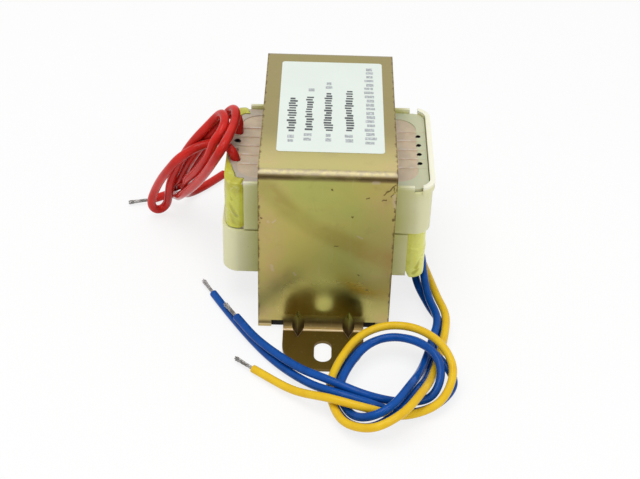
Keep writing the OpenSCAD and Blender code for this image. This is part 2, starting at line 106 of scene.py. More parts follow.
BLUE_REAR_ROUTE = (
    (27.4, -7.35, 13.9), (27.4, -7.35, 11), (28.3, -15.5, 5), (31.9, -25, 2.6), (35.3, -33, 1.4),
    (30.5, -54.5, 1.4), (26.2, -67, 6.2), (20, -76.7, 6.2), (13.5, -79.2, 3.8), (7.5, -75.4, 1.4),
    (3.7, -68.5, 1.3), (3.7, -60.5, 1.6), (11.5, -47, 4.1), (18.7, -44, 5.6), (27, -46, 6.5),
    (33, -52.5, 6.4), (37.5, -60, 3.4), (32, -67.5, 1.5), (22.5, -71.3, 1.8), (13, -71.5, 5.6), (1.9, -67.7, 6.3),
    (-3, -63.5, 4.5), (-9.8, -55.9, 2.3), (-15.8, -48.6, 1.4), (-21.7, -40.5, 1.3), (-29.9, -27.5, 1.3),
    (-34, -20.5, 1.3))

# How leads are drawn and stated.
STATION, FLOOR_GAP = 0.45, 0.02        # step between two stations and clearance from the floor, in mm
EXIT_STATION, HEADING_STATIONS = 3, 8  # where a lead leaves its hole, and the stretch that turns its end
LEAD_SIDES, STRAND_SIDES = 24, 8
ROUND_DEPTH, ROUND_WIDTH = 0.12, 0.86     # rounded-off ring at a tube's ends, as shares of its radius

# The hank: its middle, the direction to its rear, clearances between strands and from the coil's end, the
# lengths that are held at a lead's two ends and over which it comes free, and how far strands at the front
# and rear give way.
HANK_MIDDLE, HANK_BACK = np.array([-44.0, 14.5, 27.4]), np.array([0, 0.952, 0.306])
STRAND_GAP, WALL_GAP = 0.14, 1.5
HELD_START, HELD_END, LOOSER = 4, 2, 5
FRONT_GIVE, REAR_GIVE, GIVE_FROM, GIVE_OVER = 0.08, 0.92, 5, 4

# Marks on the bracket's front face: x and z of both ends and the half width, in millimetres.
FRONT_PITS = (
    (1.4, 50.9, 1.5, 50.6, 0.45), (11, 48, 11.7, 48.2, 0.4), (7.3, 41.6, 7.4, 41.7, 0.35),
    (18.7, 41.2, 18.8, 40.8, 0.55), (2.7, 31.1, 3.5, 31.1, 0.35), (9.6, 20.8, 9.7, 20.5, 0.45),
    (12.1, 15.4, 12.5, 15.4, 0.4), (-19.2, 44.4, -19.2, 43.6, 0.5), (-18.6, 40.4, -18.5, 40.3, 0.5),
    (-19.3, 27.4, -19.2, 26.8, 0.5), (15.5, 47.4, 16.6, 48, 0.3), (15.9, 49.6, 17.4, 51.3, 0.32),
    (17.4, 51.3, 19, 53, 0.34), (17.9, 48.9, 18.8, 50.5, 0.34), (18.4, 52.2, 18.9, 50.6, 0.3),
    (19, 44.8, 19.2, 43.6, 0.4))
FRONT_CHIPS = (
    (18.7, 49.4, 19.1, 45.4, 0.75), (-16.7, 39.4, -16.4, 39, 0.55), (-15.3, 38.9, -14.6, 39.8, 0.45),
    (-15.6, 23.4, -15, 21.6, 0.6), (9.1, 34.8, 10.3, 34, 0.5), (-8.9, 20.8, -8.4, 20.2, 0.6),
    (12.8, 53.4, 14.2, 53.6, 0.8))
FRONT_RUN = (
    (-17.4, 51, -11, 43.4, 4.6), (-11, 43.4, -3.9, 37.5, 4.4), (-3.9, 37.5, 1.9, 34.2, 4.4),
    (1.9, 34.2, 10.6, 30, 5), (10.6, 30, 18.6, 26, 6))

# Folds of the tape on its front side, in the same form; the tape's finish paints them darker as shade and
# lowers them in the relief.
TAPE_FOLDS = (
    (-29.1, 36.1, -26.5, 31.2, 0.9), (-29.1, 33.3, -27.4, 28.6, 1), (-29.3, 39, -27.9, 36.9, 0.8),
    (27.6, 13.5, 28.9, 16.7, 0.9), (26.8, 11.6, 28.5, 12.8, 0.9))

# The tapes, in millimetres: their outline and the flange corners that they wrap, the points of their grid,
# the step along it that sets the pace of the creases, the thickness, and the texture's step.
TAPE_HALF_X, TAPE_HALF_Y, TAPE_CORNER, RIM_CORNER = 29.3, 20.1, 6.2, 4.15
TAPE_STATIONS, TAPE_ROWS, TAPE_LIP_ROWS = 560, 44, 9
TAPE_PACE, TAPE_THICK, TAPE_TEXTURE = 0.165, 0.22, 0.02
OPEN_FROM, OPEN_TO, OVERLAP = 23.4, 25.4, 0.85    # stretch across where the open end starts, and its overlap

# Columns of bars on the label: x, first and last y and width, in millimetres, and their height above it.
BAR_RAISE = 0.015
BOLD_BARS = (
    (-10.9, 5.8, -13.6, 3.0), (-5.75, 6.6, -12.6, 2.8), (-0.2, 9.0, -12.6, 2.8), (5.95, 10.5, -12.8, 2.8))
FAINT_BARS = (
    (-10.9, -14.6, -19.2, 3.0), (-5.75, 11.4, 8.6, 2.4), (-5.75, -13.6, -19.0, 3.0), (-0.2, 15.2, 11.2, 2.4),
    (-0.2, -13.6, -18.8, 3.0), (5.95, -13.8, -19.2, 2.9), (12.1, 24.2, -20.4, 3.5))

# Stage, in metres: the floor's half width, its height and its share of plain white, the dark card's corners,
# each lamp's name, place, share of the overhead power and width, and the place that the lamps face.
FLOOR_HALF, FLOOR_Z, FLOOR_WHITE = 1.6, -5e-5, 0.78
CARD = ((-0.6, -0.62, 0.02), (0.6, -0.62, 0.02), (0.6, -0.54, 0.33), (-0.6, -0.54, 0.33))
LAMPS = (("overhead_panel", (-0.12, -0.10, 0.75), 1.0, 0.55), ("front_fill", (0.35, -0.65, 0.55), 0.45, 0.40))
LAMP_AIM = (0.0, -0.01, 0.03)

# Fixed colours of the finishes, as linear red, green and blue; some of them are painted light and shade, as
# noted where they are laid.
FILM_STAIN, TOP_BRIGHT = (0.25, 0.19, 0.07), (0.60, 0.51, 0.25)
FOOT_BEND_DARK_REFLECTION, FILM_SCRATCH = (0.085, 0.058, 0.018), (0.62, 0.56, 0.36)
CORE_RUST, CORE_GAP, CORE_LOW_PAINTED_SHADE = (0.15, 0.085, 0.045), (0.02, 0.018, 0.016), (0.012, 0.010, 0.008)
COVER_RIM, COVER_SOIL = (0.92, 0.90, 0.70), (0.22, 0.18, 0.09)
RIB_PAINTED_HIGHLIGHT, RIM_GREY, FLANK_PAINTED_LIGHT = (0.72, 0.62, 0.54), (0.48, 0.41, 0.32), (0.86, 0.72, 0.58)
FORMER_SCUFF, HOLE_PAINTED_SHADE = (0.72, 0.62, 0.56), (0.010, 0.008, 0.006)
TAPE_DEEP, TAPE_LOW_PAINTED_LIGHT = (0.50, 0.47, 0.03), (0.92, 0.94, 0.24)
TAPE_PALE, TAPE_FOLD_SHADE = (0.72, 0.74, 0.27), (0.34, 0.31, 0.015)
COPPER_DEEP, TURN_GAP, COPPER_PAINTED_SHADE = (0.42, 0.13, 0.04), (0.10, 0.03, 0.01), (0.012, 0.008, 0.006)
LABEL_DUST, LEAD_DUST, TIN_DEEP = (0.45, 0.45, 0.42), (0.7, 0.66, 0.6), (0.20, 0.185, 0.17)
CARD_DARK = (0.03, 0.03, 0.03, 1)


# --------------------------------------------------------------------------- user settings

def colour(name, description, rgb):
    """One colour setting, as linear red, green and blue."""
    return FloatVectorProperty(name=name, description=description, default=rgb, min=0, max=1, subtype="COLOR")


def size(name, description, millimetres):
    """One length setting, given in millimetres and kept in metres."""
    return FloatProperty(
        name=name, description=description, default=millimetres * MM, unit="LENGTH", precision=5)


def angle(name, description, degrees):
    """One angle setting, given in degrees."""
    return FloatProperty(name=name, description=description, default=math.radians(degrees), subtype="ANGLE")


class LeadSettings(bpy.types.PropertyGroup):
    """Sizes and colours of the flying leads."""
    diameter: size("Lead diameter", "Outside diameter of the insulation", 2.4)
    red_diameter: size("Red lead diameter", "Outside diameter of the thicker primary insulation", 2.8)
    conductor: size("Conductor diameter", "Diameter of the bare twisted conductor", 1.1)
    strands: IntProperty(
        name="Strands", description="Strands round the core strand of a conductor", default=6, min=3)
    tip: size("Bare tip", "Length of bare conductor at the free end", 7.0)
    red: colour("Red insulation", "Colour of the primary leads", (0.61, 0.025, 0.018))
    blue: colour("Blue insulation", "Colour of the two outer secondary leads", (0.005, 0.077, 0.352))
    yellow: colour("Yellow insulation", "Colour of the centre secondary lead", (0.78, 0.51, 0.022))
    tin: colour("Tinned wire", "Colour of the bare strands", (0.42, 0.41, 0.40))


class BracketSettings(bpy.types.PropertyGroup):
    """Colours of the passivated steel bracket and of the core."""
    gold: colour("Gold film", "Main colour of the passivation", (0.51, 0.44, 0.120))
    green: colour("Green film", "Thin places of the passivation", (0.45, 0.455, 0.125))
    tan: colour("Tan film", "Thick places of the passivation near the edges", (0.54, 0.405, 0.165))
    # Also carried up the foot bends, with a darker band, as their painted dark reflection.
    foot: colour("Foot film", "Dark film on the feet", (0.150, 0.098, 0.028))
    top: colour("Top film", "Film on the rear of the top", (0.27, 0.225, 0.095))
    run: colour("Brown run", "Run of thicker film across the front", (0.33, 0.275, 0.060))
    run_end: colour("End of the run", "Redder end of the run", (0.42, 0.27, 0.06))
    # Painted highlight: this tint along the two top bends sets the colour of the lamp highlight there.
    bend: colour("Bend", "Film worn thin along the two top bends", (0.345, 0.295, 0.195))
    # Also paints a thin highlight line just above the feet.
    chip_and_foot_glint: colour("Chip", "Places where the film has flaked", (0.62, 0.50, 0.42))
    # Also paints a dark reflection band under the rounded top front edge.
    rust_and_dark_band: colour("Worn edge", "Cut edges and pits where the film is gone", (0.13, 0.075, 0.035))
    core: colour("Core sheet", "Colour of the lamination edges", (0.26, 0.245, 0.23))


class CoilSettings(bpy.types.PropertyGroup):
    """Colours of the coil former, tapes, windings and covers."""
    nylon: colour("Cover nylon", "Colour of the covers at their free ends", (0.78, 0.76, 0.45))
    nylon_deep: colour(
        "Cover nylon near the core", "Colour of the covers beside the bracket", (0.60, 0.59, 0.19))
    former: colour("Former nylon", "Colour of the coil former", (0.63, 0.50, 0.345))
    edge: size("Cover edge", "Rounding of the covers' edges", 0.4)
    rim: colour("Former rim", "Colour of the flange round its sunk panels", (0.54, 0.55, 0.36))
    tape: colour("Tape", "Colour of the insulating tape", (0.64, 0.65, 0.075))
    copper: colour("Enamelled wire", "Colour of the windings", (0.55, 0.20, 0.06))
    tape_wrap: size("Tape over the rim", "Clearance of the tape where it wraps over the flange rim", 0.4)


class LabelSettings(bpy.types.PropertyGroup):
    """Colours of the rating label."""
    paper: colour("Label stock", "Colour of the label", (0.71, 0.775, 0.715))
    ink: colour("Ink", "Colour of the printed bars", (0.045, 0.05, 0.055))
    grey: colour("Pale ink", "Colour of the paler printed bars", (0.33, 0.35, 0.36))


class StageSettings(bpy.types.PropertyGroup):
    """Camera and light."""
    lens: FloatProperty(
        name="Lens", description="Focal length on a 36 mm sensor, in millimetres", default=78.18)
    distance_x: size("Camera across", "Camera position across the object", -2.2)
    distance_y: size("Camera back", "Camera position before the object", -350.7)
    distance_z: size("Camera height", "Camera height above the floor", 273.4)
    yaw: angle("Yaw", "Turn of the camera to the right", 0.09)
    pitch: angle("Pitch", "Tilt of the camera down", 37.16)
    roll: angle("Roll", "Roll of the camera", 1.63)
    floor: colour("Floor", "Colour of the floor", (0.90, 0.90, 0.90))
    sky: FloatProperty(name="Fill light", description="Strength of the light from all round", default=0.62)
    key: FloatProperty(
        name="Overhead light", description="Power of the overhead panel, in watts", default=2.6)


# --------------------------------------------------------------------------- surfaces

def unit(vectors):
    """Vectors divided by their own lengths."""
    return vectors / np.linalg.norm(vectors, axis=-1, keepdims=True)


def walked(line):
    """Length along a row of points, up to each of them."""
    return np.concatenate([[0], np.cumsum(np.linalg.norm(np.diff(line, axis=0), axis=1))])


def evenly(line, count, closed=False):
    """A line walked at equal steps of length; a closed one doesn't come back to its first point."""
    walk = walked(line)
    even = np.linspace(0, walk[-1], count, endpoint=not closed)
    return np.stack([np.interp(even, walk, column) for column in line.T], 1)


def grid_corners(rows, columns, wrap_rows, wrap_columns):
    """Row and column numbers of the first corner of each quad of a grid, closed on itself where asked."""
    return np.meshgrid(
        np.arange(rows - (not wrap_rows)), np.arange(columns - (not wrap_columns)), indexing="ij")


def grid_quads(rows, columns, wrap_rows=False, wrap_columns=False):
    """Corner numbers of the same quads, with the points numbered row by row."""
    r0, c0 = grid_corners(rows, columns, wrap_rows, wrap_columns)
    r1, c1 = (r0 + 1) % rows, (c0 + 1) % columns
    return np.stack(
        [r0 * columns + c0, r0 * columns + c1, r1 * columns + c1, r1 * columns + c0], -1).reshape(-1, 4)


def skin(points, rows, columns, u, v, wrap_rows=False):
    """Quads and texture places of a grid of points that is closed along its columns, with u along the rows
    and v along the columns. The quads are turned so that the enclosed volume, summed from two tetrahedra a quad,
    is positive. The last value says whether they had to be turned."""
    quads = grid_quads(rows, columns, wrap_rows, True)
    r0, c0 = grid_corners(rows, columns, wrap_rows, True)
    corners = ((r0, c0), (r0, c0 + 1), (r0 + 1, c0 + 1), (r0 + 1, c0))
    uv = np.stack([np.stack([u[r], v[c]], -1) for r, c in corners], 2).reshape(-1, 4, 2)
    a, b, c, d = (points[quads[:, k]] for k in range(4))
    volume = (np.einsum("ij,ij->i", a, np.cross(b, c)) + np.einsum("ij,ij->i", a, np.cross(c, d))).sum()
    return (quads, uv, False) if volume > 0 else (quads[:, ::-1], uv[:, ::-1], True)


def new_piece(name, finish, slot, points, quads, uv=None, caps=(), smooth=True):
    """Puts a numpy surface in millimetres into a mesh object that rides on the root body."""
    mesh = bpy.data.meshes.new(name)
    mesh.from_pydata((points * MM).tolist(), [], quads.tolist() + [list(c) for c in caps])
    if uv is not None:
        layer = mesh.uv_layers.new(name="UVMap")
        flat = np.zeros((len(mesh.loops), 2), np.float32)
        flat[:uv.size // 2] = uv.reshape(-1, 2)
        layer.data.foreach_set("uv", flat.ravel())
    mesh.polygons.foreach_set("use_smooth", np.full(len(mesh.polygons), smooth))
    mesh.materials.append(finish)
    mesh.update()
    if mesh.validate():
        raise RuntimeError(f"{name}: the surface has faulty faces")
    piece = bpy.data.objects.new(name, mesh)
    bpy.context.scene.collection.objects.link(piece)
    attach(piece, "root")
    return piece


def rounded(curve, width, reach=12):
    """Stations averaged with their neighbours under a Gaussian window whose width is given in stations."""
    window = np.exp(-0.5 * (np.arange(-reach, reach + 1) / width) ** 2)
    window /= window.sum()
    longer = np.vstack([2 * curve[0] - curve[reach:0:-1], curve, 2 * curve[-1] - curve[-2:-reach - 2:-1]])
    return np.stack([np.convolve(longer[:, k], window, "valid") for k in range(3)], 1)


def lead_path(route, soften=1.2, lowest=0.0):
    """Smooth route in millimetres: a centripetal Catmull-Rom curve through the points, walked at equal
    steps of length, rounded with a Gaussian window of the given width and kept above a lowest height."""
    p = np.asarray(route, float)
    q = np.vstack([2 * p[0] - p[1], p, 2 * p[-1] - p[-2]])
    p0, p1, p2, p3 = (q[k:len(q) - 3 + k][:, None, :] for k in range(4))
    gap = lambda a, b: np.linalg.norm(b - a, axis=2, keepdims=True) ** 0.5
    k1 = gap(p0, p1)
    k2 = k1 + gap(p1, p2)
    k3 = k2 + gap(p2, p3)
    t = k1 + (k2 - k1) * np.linspace(0, 1, 40, endpoint=False)[None, :, None]
    part = lambda a, b, ta, tb: ((tb - t) * a + (t - ta) * b) / (tb - ta)
    a1, a2, a3 = part(p0, p1, 0 * k1, k1), part(p1, p2, k1, k2), part(p2, p3, k2, k3)
    curve = part(part(a1, a2, 0 * k1, k2), part(a2, a3, k1, k3), k1, k2).reshape(-1, 3)
    curve = np.vstack([curve, p[-1:]])
    curve = rounded(evenly(curve, int(walked(curve)[-1] / STATION)), soften / STATION)
    curve[:, 2] = np.maximum(curve[:, 2], lowest)
    return curve


def settle(paths, gap, lowest, wall, rounds=120, own=2.6, force=0.6, soften=0.75, wall_push=0.3):
    """Leads of one bundle pushed apart. Every second station that is nearer than the gap to another strand
    moves away from it by the missing distance, shared so that strands at the front of the bundle give way
    least. The moves are averaged over the contacts, keep off the coil's end wall and the floor, are rounded
    along each lead and are spread back over all stations; the two ends of a lead stay in place. A strand's
    own stations count as another strand beyond a stretch of own times the gap."""
    thin, pace = [p[::2] for p in paths], 2 * STATION
    cut = np.cumsum([0] + [len(p) for p in thin])
    start = np.vstack(thin)
    lead = np.repeat(np.arange(len(thin)), np.diff(cut))
    walk = np.concatenate([np.arange(len(p)) * pace for p in thin])
    left = np.concatenate([np.arange(len(p))[::-1] * pace for p in thin])
    give = FRONT_GIVE + REAR_GIVE * np.clip(((start - HANK_MIDDLE) @ HANK_BACK + GIVE_FROM) / GIVE_OVER, 0, 1)
    share = 2 * give[:, None] / (give[:, None] + give[None])
    free = np.clip((walk - HELD_START) / LOOSER, 0, 1) * np.clip((left - HELD_END) / LOOSER, 0, 1)
    free = free[:, None]
    apart = (lead[:, None] != lead[None]) | (np.abs(walk[:, None] - walk[None]) > own * gap)
    shift = np.zeros_like(start)
    for _ in range(rounds):
        now = start + shift
        between = now[:, None] - now[None]
        distance = np.linalg.norm(between, axis=2) + 1e-9
        lack = np.where(apart, np.clip(gap - distance, 0, None), 0)
        push = (between * (share * lack / distance)[..., None]).sum(1)
        push /= np.maximum(1, (lack > 0).sum(1))[:, None]
        beside = (now[:, 2] < wall[1]) & (walk > HELD_START)
        push[:, 0] -= np.where(beside, np.clip(now[:, 0] - wall[0], 0, wall_push), 0)
        shift += force * push * free
        shift = np.vstack([rounded(shift[a:b], soften / pace) for a, b in zip(cut, cut[1:])])
        shift *= np.minimum(1, free * 4)
        shift[:, 2] = np.maximum(shift[:, 2], lowest - start[:, 2])
    spread = lambda p, part: np.stack(
        [np.interp(np.arange(len(p)), np.arange(len(part)) * 2, column) for column in part.T], 1)
    return [p + spread(p, shift[a:b]) for p, a, b in zip(paths, cut, cut[1:])]


def mirrored(vector, normal):
    """A vector mirrored in the plane across a normal, or left as it is where the normal vanishes."""
    square = normal @ normal
    return vector - 2 / square * (normal @ vector) * normal if square > 1e-18 else vector


def path_frames(path):
    """Two directions across a path at each station, carried along it without twist by double reflection."""
    tangent = unit(np.gradient(path, axis=0))
    across = [unit(np.cross(tangent[0], (0.31, 0.95, 0.08)))]
    for k in range(len(path) - 1):
        step = path[k + 1] - path[k]
        turn = tangent[k + 1] - mirrored(tangent[k], step)
        across.append(unit(mirrored(mirrored(across[-1], step), turn)))
    across = np.array(across)
    return tangent, across, np.cross(tangent, across)


def tube_surface(path, radius, sides):
    """A circle carried along a path: station plus radius times cosine and sine of the turn, with a
    rounded-off ring and a flat face at each end. Returns points, quads, texture places and end faces."""
    tangent, n, b = path_frames(path)
    depth = ROUND_DEPTH * radius
    path = np.vstack(
        [path[0], path[0] + tangent[0] * depth, path[1:-1], path[-1] - tangent[-1] * depth, path[-1]])
    spread = lambda a: np.vstack([a[0], a[0], a[1:-1], a[-1], a[-1]])
    n, b = spread(n), spread(b)
    rows = len(path)
    radii = np.full(rows, radius)
    radii[[0, -1]] *= ROUND_WIDTH
    turn = np.linspace(0, 2 * np.pi, sides, endpoint=False)
    ring = np.cos(turn)[None, :, None] * n[:, None, :] + np.sin(turn)[None, :, None] * b[:, None, :]
    points = (path[:, None, :] + radii[:, None, None] * ring).reshape(-1, 3)
    quads, uv, turned = skin(
        points, rows, sides, walked(path) / (2 * np.pi * radius), np.linspace(0, 1, sides + 1))
    first, last = np.arange(sides), np.arange(sides) + (rows - 1) * sides
    return points, quads, uv, (first, last[::-1]) if turned else (first[::-1], last)


def twisted_tip(start, direction, length, conductor, strands):
    """Bare conductor: strands round one core strand, each a circle carried along a helix whose radius
    swells a little towards the free end. Returns points, quads, texture places and end faces, in mm."""
    direction = unit(direction)
    side = unit(np.cross(direction, (0, 0, 1.0)))
    up = np.cross(side, direction)
    wire, pitch, frayed = conductor / 3.05, 9.0, 0.6
    along = np.linspace(-1.0, length, 34)
    parts, count = [], 0
    for k in range(strands + 1):
        turn = 2 * np.pi * (k / strands + along / pitch)
        swell = wire * (k < strands) * (1.0 + 0.55 * np.clip(along / length, 0, 1) ** 3)
        reach = along - 0.5 * (k % 3) * (along > length * frayed) * (along / length - frayed)
        path = (start + reach[:, None] * direction
                + (swell * np.cos(turn))[:, None] * side + (swell * np.sin(turn))[:, None] * up)
        points, quads, uv, caps = tube_surface(path, wire / 2 * 1.05, STRAND_SIDES)
        parts.append((points, quads + count, uv, [c + count for c in caps]))
        count += len(points)
    points, quads, uv, caps = zip(*parts)
    return np.vstack(points), np.vstack(quads), np.vstack(uv), sum(caps, [])


def band_outline(half_x, half_y, corner, count):
    """Closed rounded rectangle walked at equal steps from the middle of the right side: four straights and
    four quarter circles. Returns places and outward directions."""
    t = np.linspace(0, np.pi / 2, 60)
    quarter = np.array([(half_x - corner, half_y - corner)]) + corner * np.stack([np.cos(t), np.sin(t)], 1)
    one = np.vstack([[(half_x, 0.0)], quarter, [(0.0, half_y)]])
    loop = np.vstack([one, one[::-1] * (-1, 1), one * (-1, -1), one[::-1] * (1, -1)])
    loop = loop[np.concatenate([[True], np.linalg.norm(np.diff(loop, axis=0), axis=1) > 1e-9])]
    place = evenly(loop, count, closed=True)
    ahead = np.roll(place, -1, 0) - np.roll(place, 1, 0)
    return place, unit(np.stack([ahead[:, 1], -ahead[:, 0]], 1))


def rim_gap(place, half_x, half_y, corner):
    """Distance from places inside a rounded rectangle out to its line: the corner radius less the distance
    from the rectangle that is smaller by that radius."""
    over = np.abs(place) - (half_x - corner, half_y - corner)
    return corner - np.linalg.norm(np.maximum(over, 0), axis=1) - np.minimum(over.max(1), 0)


def ease(value, low, high):
    """Smooth step from 0 at low to 1 at high."""
    t = np.clip((value - low) / (high - low), 0, 1)
    return t * t * (3 - 2 * t)


def ripple(a, b, seed):
    """Uneven ripple between about -1 and 1: a sum of seven sines of two coordinates with seeded phases."""
    rng = np.random.default_rng(seed)
    total = 0
    for k in range(7):
        fa = rng.uniform(0.15, 1.0) * (1 + k * 0.45)
        fb = rng.uniform(-0.6, 0.6) * (1 + k * 0.35)
        total = total + np.sin(fa * a + fb * b + rng.uniform(0, 6.28)) / (1 + 0.5 * k)
    return total / 3.2


# --------------------------------------------------------------------------- finishes

def dimmed(tint, share):
    """A colour times one share, or times a share for each of its parts."""
    return np.multiply(tuple(tint), share).tolist()


class Nodes:
    """Short ways to add nodes to one tree."""

    def __init__(self, tree):
        self.tree = tree

    def feed(self, socket, value):
        """Links another node's output to a socket, or sets the socket to a number or colour."""
        if isinstance(value, bpy.types.NodeSocket):
            self.tree.links.new(value, socket)
        else:
            socket.default_value = value

    def put(self, kind, inputs=None, **settings):
        """Adds a shader node and sets its settings and its inputs."""
        node = self.tree.nodes.new("ShaderNode" + kind)
        for key, value in settings.items():
            setattr(node, key, value)
        for key, value in (inputs or {}).items():
            self.feed(node.inputs[key], value)
        return node

    def mix(self, factor, a, b):
        """Mixes two colours by a factor."""
        wide = lambda c: c if isinstance(c, bpy.types.NodeSocket) else (*c[:3], 1.0)
        return self.put("Mix", {0: factor, 6: wide(a), 7: wide(b)}, data_type="RGBA").outputs[2]

    def calc(self, operation, a, b=0.0, clamp=False):
        """One arithmetic step."""
        return self.put("Math", {0: a, 1: b}, operation=operation, use_clamp=clamp).outputs[0]

    def times(self, product, *values):
        """Product of several values."""
        for value in values:
            product = self.calc("MULTIPLY", product, value)
        return product

    def far(self, a, b):
        """Length of a step whose two parts are given: the root of the sum of their squares."""
        return self.calc("SQRT", self.calc("ADD", self.times(a, a), self.times(b, b)))

    def vector(self, operation, inputs, output=0):
        """One step of vector arithmetic."""
        return self.put("VectorMath", inputs, operation=operation).outputs[output]

    def span(self, value, low, high, out_low=0.0, out_high=1.0, kind="SMOOTHSTEP"):
        """Maps a value from one range to another."""
        inputs = {0: value, 1: low, 2: high, 3: out_low, 4: out_high}
        return self.put("MapRange", inputs, interpolation_type=kind).outputs[0]

    def zone(self, value, low, high):
        """Smooth step of a coordinate from 0 to 1 between two places in millimetres."""
        return self.span(value, low * MM, high * MM)

    def noise(self, vector, scale, detail=3.0, roughness=0.55, distortion=0.0):
        """Noise value at a scale given in cycles a metre."""
        return self.put("TexNoise", {
            "Vector": vector, "Scale": scale, "Detail": detail, "Roughness": roughness,
            "Distortion": distortion}).outputs[0]

    def seen(self):
        """1 for a camera, glossy or clear ray and 0 for the others."""
        ray = self.put("LightPath").outputs
        bounced = self.calc("MAXIMUM", ray["Is Glossy Ray"], ray["Is Transmission Ray"])
        return self.calc("MAXIMUM", ray["Is Camera Ray"], bounced)


def patches_mask(n, given):
    """Cloudy patches: noise stepped between two levels."""
    return n.span(n.noise(given["Vector"], given["Scale"], 4.0, 0.6, 0.4), given["Low"], given["High"])


def scratches_mask(n, given):
    """Fine scratches: the crests of a noise drawn out along z, where a slow noise is strong."""
    drawn = n.vector("MULTIPLY", {0: given["Vector"], 1: (1.0, 1.0, 0.06)})
    thin = n.span(n.noise(drawn, given["Scale"], 2.0, 0.5, 0.3), 0.60, 0.72)
    return n.times(thin, n.span(n.noise(given["Vector"], 90.0, 2.0), 0.45, 0.65), given["Amount"])


def specks_mask(n, given):
    """Scattered specks: a spot in the middle of a share of the cells of a Voronoi pattern."""
    cells = n.put("TexVoronoi", {"Vector": given["Vector"], "Scale": given["Scale"]}).outputs
    picked = n.calc("LESS_THAN", n.put("SeparateColor", {0: cells["Color"]}).outputs[0], given["Share"])
    return n.times(n.span(cells["Distance"], 0.0, given["Size"], 1.0, 0.0), picked)


def stroke_mask(n, given):
    """One stroke: the distance from the line between two places, stepped down to its half width."""
    line = n.vector("SUBTRACT", {0: given["End"], 1: given["Start"]})
    off = n.vector("SUBTRACT", {0: given["Vector"], 1: given["Start"]})
    dot = lambda a, b: n.vector("DOT_PRODUCT", {0: a, 1: b}, "Value")
    along = n.calc("DIVIDE", dot(off, line), dot(line, line), clamp=True)
    gap = n.vector("DISTANCE", {0: off, 1: n.vector("SCALE", {0: line, "Scale": along})}, "Value")
    return n.span(gap, n.times(given["Width"], 0.25), given["Width"], 1.0, 0.0)


EFFECTS = {
    "patches": (patches_mask, {"Scale": 100.0, "Low": 0.4, "High": 0.6}),
    "scratches": (scratches_mask, {"Scale": 900.0, "Amount": 0.5}),
    "specks": (specks_mask, {"Scale": 400.0, "Size": 0.2, "Share": 0.3}),
    "stroke": (stroke_mask, {"Start": (0.0, 0.0, 0.0), "End": (0.0, 0.0, 1.0), "Width": 0.001}),
}


def effect_group(name):
    """The shared shader group of an effect, made at its first use: a vector, the effect's values and a Mask
    output."""
    if name in bpy.data.node_groups:
        return bpy.data.node_groups[name]
    build, inputs = EFFECTS[name]
    group = bpy.data.node_groups.new(name, "ShaderNodeTree")
    group.interface.new_socket("Vector", in_out="INPUT", socket_type="NodeSocketVector")
    for key, default in inputs.items():
        kind = "NodeSocketVector" if isinstance(default, tuple) else "NodeSocketFloat"
        group.interface.new_socket(key, in_out="INPUT", socket_type=kind).default_value = default
    group.interface.new_socket("Mask", in_out="OUTPUT", socket_type="NodeSocketFloat")
    mask = build(Nodes(group), group.nodes.new("NodeGroupInput").outputs)
    group.links.new(mask, group.nodes.new("NodeGroupOutput").inputs["Mask"])
    return group


class Finish(Nodes):
    """A node material in the making: its Principled shader with plain values set on the shader itself, the
    object coordinates and the colour so far."""

    def __init__(self, name, **constants):
        self.material = bpy.data.materials.new(name)
        self.material.use_nodes = True
        super().__init__(self.material.node_tree)
        self.shader = self.tree.nodes["Principled BSDF"]
        for key, value in constants.items():
            self.shader.inputs[key.replace("_", " ")].default_value = value
        self.place = self.put("TexCoord").outputs["Object"]
        self.x, self.y, self.z = self.put("SeparateXYZ", {0: self.place}).outputs

    def effect(self, name, vector=None, **values):
        """Places a shared effect with its own values and returns its mask."""
        node = self.put("Group")
        node.node_tree = effect_group(name)
        self.feed(node.inputs["Vector"], vector or self.place)
        for key, value in values.items():
            node.inputs[key.capitalize()].default_value = value
        return node.outputs["Mask"]

    def patches(self, scale, low, high):
        """Cloudy patches in object coordinates."""
        return self.effect("patches", scale=scale, low=low, high=high)

    def specks(self, scale, size, share):
        """Scattered specks in object coordinates."""
        return self.effect("specks", scale=scale, size=size, share=share)

    def grain(self, *values):
        """Noise in object coordinates."""
        return self.noise(self.place, *values)

    def marks(self, marks, face, vector=None):
        """The strongest of several strokes on a front face, which is given by its y."""
        total = None
        for x0, z0, x1, z1, width in marks:
            one = self.effect("stroke", vector, start=(x0 * MM, face, z0 * MM), end=(x1 * MM, face, z1 * MM),
                              width=width * MM)
            total = one if total is None else self.calc("MAXIMUM", total, one)
        return total

    def lay(self, tint, *masks):
        """Lays a colour over the colour so far, by the product of its masks."""
        self.tint = self.mix(self.times(*masks), self.tint, tint)

    def uneven(self, grain, low, high):
        """A value between two bounds that follows a noise."""
        return self.span(grain, 0.3, 0.7, low, high, "LINEAR")

    def done(self, rough, height, strength, distance):
        """Feeds colour, roughness and relief into the shader and returns the material."""
        self.feed(self.shader.inputs["Base Color"], self.tint)
        self.feed(self.shader.inputs["Roughness"], rough)
        bump = self.put("Bump", {"Strength": strength, "Distance": distance, "Height": height})
        self.feed(self.shader.inputs["Normal"], bump.outputs[0])
        return self.material


